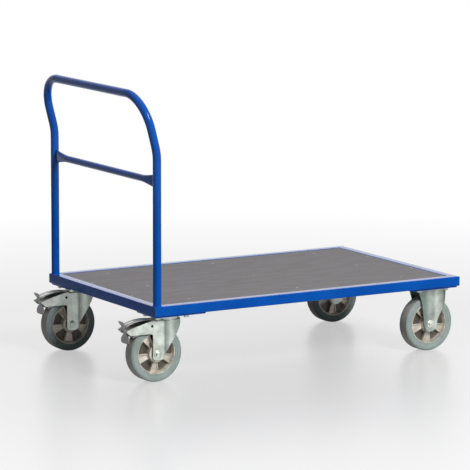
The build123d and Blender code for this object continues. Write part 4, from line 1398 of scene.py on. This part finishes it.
def pedal_cheek(side):
    """One of the pedal's cheeks: a flat plate from the pivot's eye back to the bridge.

    Its outline is in x from the swivel's axis and z from the floor, with rounded corners."""
    outline = [
        (PIVOT_X + EYE, PIVOT_Z + EYE),
        *CHEEK_TOP,
        (BRIDGE_REAR, BRIDGE),
        CHEEK_UNDER,
        (PIVOT_X - 4.0, PIVOT_Z - EYE),
        (PIVOT_X + EYE, PIVOT_Z - EYE),
    ]
    inner, outer = (0, side * CHEEK_INNER, 0), (0, side * CHEEK_OUTER, 0)
    return slab(rounded(outline, CHEEK_RADII, 8), inner, outer, up=(0, 0, 1))


def pedal_bridge():
    """The plate that joins the two cheeks over the pad."""
    half = CHEEK_OUTER
    outline = there_and_back([(BRIDGE_FRONT, half), (BRIDGE_REAR, half)])
    return slab(rounded(outline, 1.0, 4), (0, 0, BRIDGE), (0, 0, BRIDGE + PLATE))


class CART_OT_pedals(bpy.types.Operator):
    """Makes the brake pedals, each a pad and release tab on two cheeks."""

    bl_idname = "cart.pedals"
    bl_label = "Brake pedals"

    def execute(self, context):
        surfaces = [pedal_plate(), pedal_bridge(), pedal_cheek(-1), pedal_cheek(1)]
        for name, words, place in swivel_castors():
            placed = [moved(surface, place) for surface in surfaces]
            piece, body, node = f"{name}_pedal_pressing", f"{words} pedal", f"{name}_brake_pedal"
            add_piece(piece, placed, finish_of("pedal"), body, [node], sizes().sheet_edge)
        return {"FINISHED"}


class CART_OT_rivets(bpy.types.Operator):
    """Makes the hollow rivets that the pedals turn on, with their bores painted dark as shade.

    Both are sections turned about the pivot. The head's goes out along the shank, over the raised
    rim and down into the hollow; the bore's is a thin cup just inside that hollow, a near-black
    sheet of painted shade."""

    bl_idname = "cart.rivets"
    bl_label = "Pedal rivets"

    def execute(self, context):
        face, floor = LEG_OUTER + 1.2, LEG_OUTER + 0.15
        head = [
            (3.4, RIVET_INNER),
            (3.4, LEG_OUTER - 1),
            (5.5, LEG_OUTER - 1),
            (5.4, face - 0.3),
            (5.2, face),
            (4.9, face),
            (4.7, face - 0.3),
            (4.6, floor),
            (POINT_RADIUS, floor),
            (POINT_RADIUS, RIVET_INNER),
        ]
        bore = [
            (4.65, face - 0.3),
            (4.55, floor - 0.05),
            (POINT_RADIUS, floor - 0.05),
            (POINT_RADIUS, floor + 0.15),
            (4.4, floor + 0.15),
            (4.45, face - 0.3),
        ]
        # the bore cup is a near-black sheet of painted shade in the rivet's hollow
        kinds = ((head, "rivet_heads", "zinc"), (bore, "rivet_bores", "bore"))
        for name, words, foot in swivel_castors():
            place = foot + (PIVOT_X, 0, PIVOT_Z)
            node = [f"{name}_pedal_rivets"]
            for profile, piece, finish in kinds:
                right = revolved([(out, -y) for out, y in profile], RIVET_POINTS)
                left = revolved(profile, RIVET_POINTS)
                both = [moved(surface, place) for surface in (right, left)]
                body = f"{words} swivel"
                add_piece(f"{name}_{piece}", both, finish_of(finish), body, node)
        return {"FINISHED"}


class CART_OT_leaves(bpy.types.Operator):
    """Makes the brake leaves from the solids, their facets merged and their edges eased."""

    bl_idname = "cart.leaves"
    bl_label = "Brake leaves"

    def execute(self, context):
        for name, words, _ in swivel_castors():
            node, body = f"{name}_brake_leaf", f"{words} swivel"
            # the leaves take the darker zinc, painted shade
            eased_copy(node, f"{name}_leaf", finish_of("leaf"), body, LEAF_EDGE)
        return {"FINISHED"}


# ------------------------------------------------------------------ fixed castors

FOOT_RADIUS = 28.0
FLARE = 14.0
PANEL_FRONT = 26.0
FLANGE_RADIUS = 159.6
PLATE_UNDER = high("front_left_bracket")[2] - SHEET
PLATE_HALF_X, PLATE_HALF_Y, PLATE_CORNER = 70.0, 55.0, 12.0
BRACKET_REAR = [(AXLE_Z, -28.0), (AXLE_Z + 72, -36.0), (PLATE_UNDER, -53.0)]
BRACKET_FRONT = [(AXLE_Z, 28.0), (AXLE_Z + 15, 30.0), (AXLE_Z + 72, 64.0), (PLATE_UNDER, 70.0)]
EDGE_BLUR = 9.0
ROUND_ROWS, LEVEL_ROWS, FLARE_ROWS, LEG_COLUMNS = 14, 34, 9, 28
FOOT_START = 0.04
# painted shade on the legs, by mm ahead of the axle: darker at the rear edge and over the turned-in front flange,
# lightest from 22 to 28 mm
BRACKET_SHADE_BANDS = (
    (-30.0, -24.0, -8.0, 8.0, 16.0, 22.0, 28.0, 39.0, 52.0, 58.0, 75.0),
    (0.8, 0.8, 0.4, 0.5, 0.3, 0.0, 0.0, 0.3, 0.5, 0.9, 1.0),
)


def bracket_leg(side):
    """One pressed leg of a fixed bracket, about the axle's own x.

    Each row of the sheet is a level: a half circle round the axle, then edges that widen to the
    plate, then a quarter circle that flares out under it. Along a row the sheet is flat to the
    panel's front and then turns in on a wide arc."""
    flare_start = PLATE_UNDER - FLARE
    turn = np.linspace(FOOT_START, pi / 2, ROUND_ROWS)
    levels = np.linspace(AXLE_Z, flare_start, LEVEL_ROWS)[1:]
    quarter = np.linspace(0, pi / 2, FLARE_ROWS)[1:]
    upper_z = np.concatenate([levels, flare_start + FLARE * np.sin(quarter)])
    round_foot = FOOT_RADIUS * np.sin(turn)
    rear = np.concatenate([-round_foot, soft_line(upper_z, BRACKET_REAR, EDGE_BLUR)])
    front = np.concatenate([round_foot, soft_line(upper_z, BRACKET_FRONT, EDGE_BLUR)])
    share = np.linspace(0, 1, LEG_COLUMNS)[None, :]
    x = rear[:, None] + (front - rear)[:, None] * share
    ahead = np.clip(x - PANEL_FRONT, 0, None)
    foot_z = AXLE_Z - FOOT_RADIUS * np.cos(turn)
    upright = np.zeros(len(turn) + len(levels))
    grids = []
    for inset in (0.0, SHEET):
        radius = FLARE + inset
        out = np.concatenate([upright, FLARE - radius * np.cos(quarter) + inset])
        z = np.concatenate([foot_z, levels, flare_start + radius * np.sin(quarter)])
        bend = FLANGE_RADIUS - inset
        y = LEG_OUTER - inset + out[:, None] - (bend - np.sqrt(bend**2 - ahead**2))
        grids.append(np.stack([x, side * y, z[:, None] + 0 * x], axis=-1))
    return shell(*grids)


def bracket_plate():
    """The bracket's flat mounting plate, a rectangle with round corners."""
    outline = there_and_back([(PLATE_HALF_X, PLATE_HALF_Y), (-PLATE_HALF_X, PLATE_HALF_Y)])
    rounds = rounded(outline, PLATE_CORNER, 8)
    return slab(rounds, (0, 0, PLATE_UNDER), (0, 0, PLATE_UNDER + SHEET))


class CART_OT_brackets(bpy.types.Operator):
    """Makes the pressed brackets of the fixed castors."""

    bl_idname = "cart.brackets"
    bl_label = "Fixed brackets"

    def execute(self, context):
        surfaces = [bracket_plate(), bracket_leg(-1), bracket_leg(1)]
        for name in FIXED:
            place = joint_at(f"{name}_roll") * (1, 1, 0)
            placed = [moved(surface, place) for surface in surfaces]
            piece, node, edge = f"{name}_bracket_pressing", f"{name}_bracket", sizes().sheet_edge
            piece = add_piece(piece, placed, finish_of("zinc"), "chassis", [node], edge)
            paint_shade_bands(piece, place[0], *BRACKET_SHADE_BANDS)
        return {"FINISHED"}


# ------------------------------------------------------------------ finish on the solids that stay


class CART_OT_solids(bpy.types.Operator):
    """Gives each solid that is shown as it is the finish of its material slot."""

    bl_idname = "cart.solids"
    bl_label = "Finish the solids"

    def execute(self, context):
        slots = {row["node"]: row["material_slot"] for row in frame["record"]["subparts"]}
        for name, solid in frame["nodes"].items():
            solid.data.materials.clear()
            solid.data.materials.append(finish_of(SLOT_FINISH[slots[name]]))
        return {"FINISHED"}


# ------------------------------------------------------------------ stage

CAMERA_BEHIND, CAMERA_RIGHT, CAMERA_HEIGHT = 5.20454, 9.7854, 2.24754
CAMERA_PLACE = (REAR_END * MM - CAMERA_BEHIND, -CAMERA_RIGHT, CAMERA_HEIGHT)
CAMERA_YAW = radians(30.476)
CAMERA_PITCH = radians(9.1005)
CAMERA_ROLL = radians(0.145)
CAMERA_REACH = 200
FOCAL_PIXELS = 3163.5
PICTURE_PIXELS = 470
SENSOR_MM = 36.0
KEY_PLACE, KEY_TARGET, KEY_SIZE, KEY_POWER = (0.7, -6.2, 4.8), (0.1, 0.0, 0.3), 2.2, 600.0
TOP_PLACE, TOP_SIZE, TOP_POWER = (0.2, 0.4, 5.2), 4.0, 50.0
TOP_COLOUR = (1.0, 1.0, 1.0)
WORLD_STRENGTH = 0.085
FLOOR_REACH = 60.0
FLOOR_TONES = ("#a9a9aa", "#b0b0b0")
FLOOR_SPAN, FLOOR_OWN_WHITE = (1.2, 3.4), (0.69, 1.0)
FLOOR_SHEEN, FLOOR_POLISH = 0.25, 0.3


class CART_OT_stage(bpy.types.Operator):
    """Makes the camera, the lights and the pale floor."""

    bl_idname = "cart.stage"
    bl_label = "Stage"

    def execute(self, context):
        scene = context.scene
        scene.camera = add_camera()
        add_floor()
        add_world()
        add_light("key", KEY_PLACE, KEY_TARGET, KEY_SIZE, KEY_POWER, sizes().key_colour)
        add_light("top", TOP_PLACE, KEY_TARGET, TOP_SIZE, TOP_POWER, TOP_COLOUR)
        scene.view_settings.view_transform = "Standard"
        return {"FINISHED"}


def add_camera():
    """The camera: it looks along yaw and pitch, rolled a little about that line."""
    flat = cos(CAMERA_PITCH)
    ahead = Vector((sin(CAMERA_YAW) * flat, cos(CAMERA_YAW) * flat, -sin(CAMERA_PITCH)))
    level = Vector((cos(CAMERA_YAW), -sin(CAMERA_YAW), 0))
    upright = level.cross(ahead)
    right = level * cos(CAMERA_ROLL) + upright * sin(CAMERA_ROLL)
    up = upright * cos(CAMERA_ROLL) - level * sin(CAMERA_ROLL)
    data = bpy.data.cameras.new("camera")
    data.sensor_width = SENSOR_MM
    data.lens = FOCAL_PIXELS * SENSOR_MM / PICTURE_PIXELS
    data.clip_end = CAMERA_REACH
    camera = add_object("camera", data)
    turn = Matrix((right, up, -ahead)).transposed().to_4x4()
    camera.matrix_world = Matrix.Translation(CAMERA_PLACE) @ turn
    return camera


def add_light(name, place, target, size, power, colour):
    """A square soft light that faces a point."""
    data = bpy.data.lights.new(name, "AREA")
    data.size = size
    data.energy = power
    data.color = colour
    light = add_object(name, data)
    light.location = place
    light.rotation_mode = "QUATERNION"
    light.rotation_quaternion = (Vector(target) - Vector(place)).to_track_quat("-Z", "Y")


def seen_directly(tree):
    """One for camera, glossy and transmitted rays, and nought for the rays that carry light."""
    path = add_node(tree, "ShaderNodeLightPath").outputs
    seen = reckon(tree, "MAXIMUM", path["Is Camera Ray"], path["Is Glossy Ray"])
    return reckon(tree, "MAXIMUM", seen, path["Is Transmission Ray"])


def add_floor():
    """A wide plain floor, pale and matt with a faint polish, that still takes the cart's shadow.

    To the eye and in reflections it is partly its own white, more so further from the cart, so
    that the background is pale without more light on the cart. As a source of bounced light it
    is only a matt grey floor."""
    mesh = bpy.data.meshes.new("floor")
    corners = FLOOR_REACH * np.array([(-1, -1, 0), (1, -1, 0), (1, 1, 0), (-1, 1, 0)])
    mesh.from_pydata(corners, [], [(0, 1, 2, 3)])
    floor = add_object("floor", mesh)
    material = bpy.data.materials.new("matt white floor")
    tree = empty_tree(material)
    place = add_node(tree, "ShaderNodeTexCoord").outputs["Object"]
    tone = shade(tree, noise_at(tree, place, size_mm=900, detail=2), *FLOOR_TONES)
    matt = {"Base Color": tone, "Roughness": 0.9, "Specular IOR Level": 0.0}
    paint = add_node(tree, "ShaderNodeBsdfPrincipled", matt).outputs["BSDF"]
    white = {"Color": linear(WHITE), "Strength": 1.0}
    glow = add_node(tree, "ShaderNodeEmission", white).outputs["Emission"]
    away = add_node(tree, "ShaderNodeVectorMath", {0: place}, operation="LENGTH").outputs["Value"]
    own_white = between(tree, away, FLOOR_SPAN, FLOOR_OWN_WHITE)
    share = reckon(tree, "MULTIPLY", seen_directly(tree), own_white)
    mixed = add_node(tree, "ShaderNodeMixShader", {0: share, 1: paint, 2: glow}).outputs["Shader"]
    polish = {"Color": linear(WHITE), "Roughness": FLOOR_POLISH}
    gloss = add_node(tree, "ShaderNodeBsdfAnisotropic", polish).outputs["BSDF"]
    sheen = between(tree, seen_directly(tree), (0.0, 1.0), (0.0, FLOOR_SHEEN))
    polished = add_node(tree, "ShaderNodeMixShader", {0: sheen, 1: mixed, 2: gloss})
    add_node(tree, "ShaderNodeOutputMaterial", {"Surface": polished.outputs["Shader"]})
    mesh.materials.append(material)


def add_world():
    """A plain pale surround: white to the camera and in reflections, weaker as light."""
    world = bpy.data.worlds.new("surround")
    bpy.context.scene.world = world
    tree = empty_tree(world)
    strength = between(tree, seen_directly(tree), (0.0, 1.0), (WORLD_STRENGTH, 1.0))
    white = {"Color": linear(WHITE), "Strength": strength}
    sky = add_node(tree, "ShaderNodeBackground", white).outputs[0]
    add_node(tree, "ShaderNodeOutputWorld", {"Surface": sky})


# ------------------------------------------------------------------ panel and main

OPERATORS = (
    CART_OT_solids,
    CART_OT_rails,
    CART_OT_deck_screws,
    CART_OT_handle,
    CART_OT_crossbar,
    CART_OT_welds,
    CART_OT_tyres,
    CART_OT_rims,
    CART_OT_axles,
    CART_OT_castor_screws,
    CART_OT_forks,
    CART_OT_pedals,
    CART_OT_rivets,
    CART_OT_leaves,
    CART_OT_brackets,
    CART_OT_stage,
)


class CART_PT_pieces(bpy.types.Panel):
    """Lists the operators and the sizes in the sidebar."""

    bl_idname = "CART_PT_pieces"
    bl_label = "Platform cart"
    bl_space_type = "VIEW_3D"
    bl_region_type = "UI"
    bl_category = "Cart"

    def draw(self, context):
        for name in CartSizes.__annotations__:
            self.layout.prop(context.scene.cart_sizes, name)
        for operator in OPERATORS:
            self.layout.operator(operator.bl_idname)


CLASSES = (CartSizes, *OPERATORS, CART_PT_pieces)


def register():
    """Registers the classes and hangs the sizes on the scene."""
    for made in CLASSES:
        bpy.utils.register_class(made)
    bpy.types.Scene.cart_sizes = PointerProperty(type=CartSizes)


def unregister():
    """Takes the sizes and the classes away again."""
    del bpy.types.Scene.cart_sizes
    for made in reversed(CLASSES):
        bpy.utils.unregister_class(made)


def main():
    """Makes every piece in order."""
    register()
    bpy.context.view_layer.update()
    for operator in OPERATORS:
        group, name = operator.bl_idname.split(".")
        getattr(getattr(bpy.ops, group), name)()


if __name__ == "__main__":
    main()
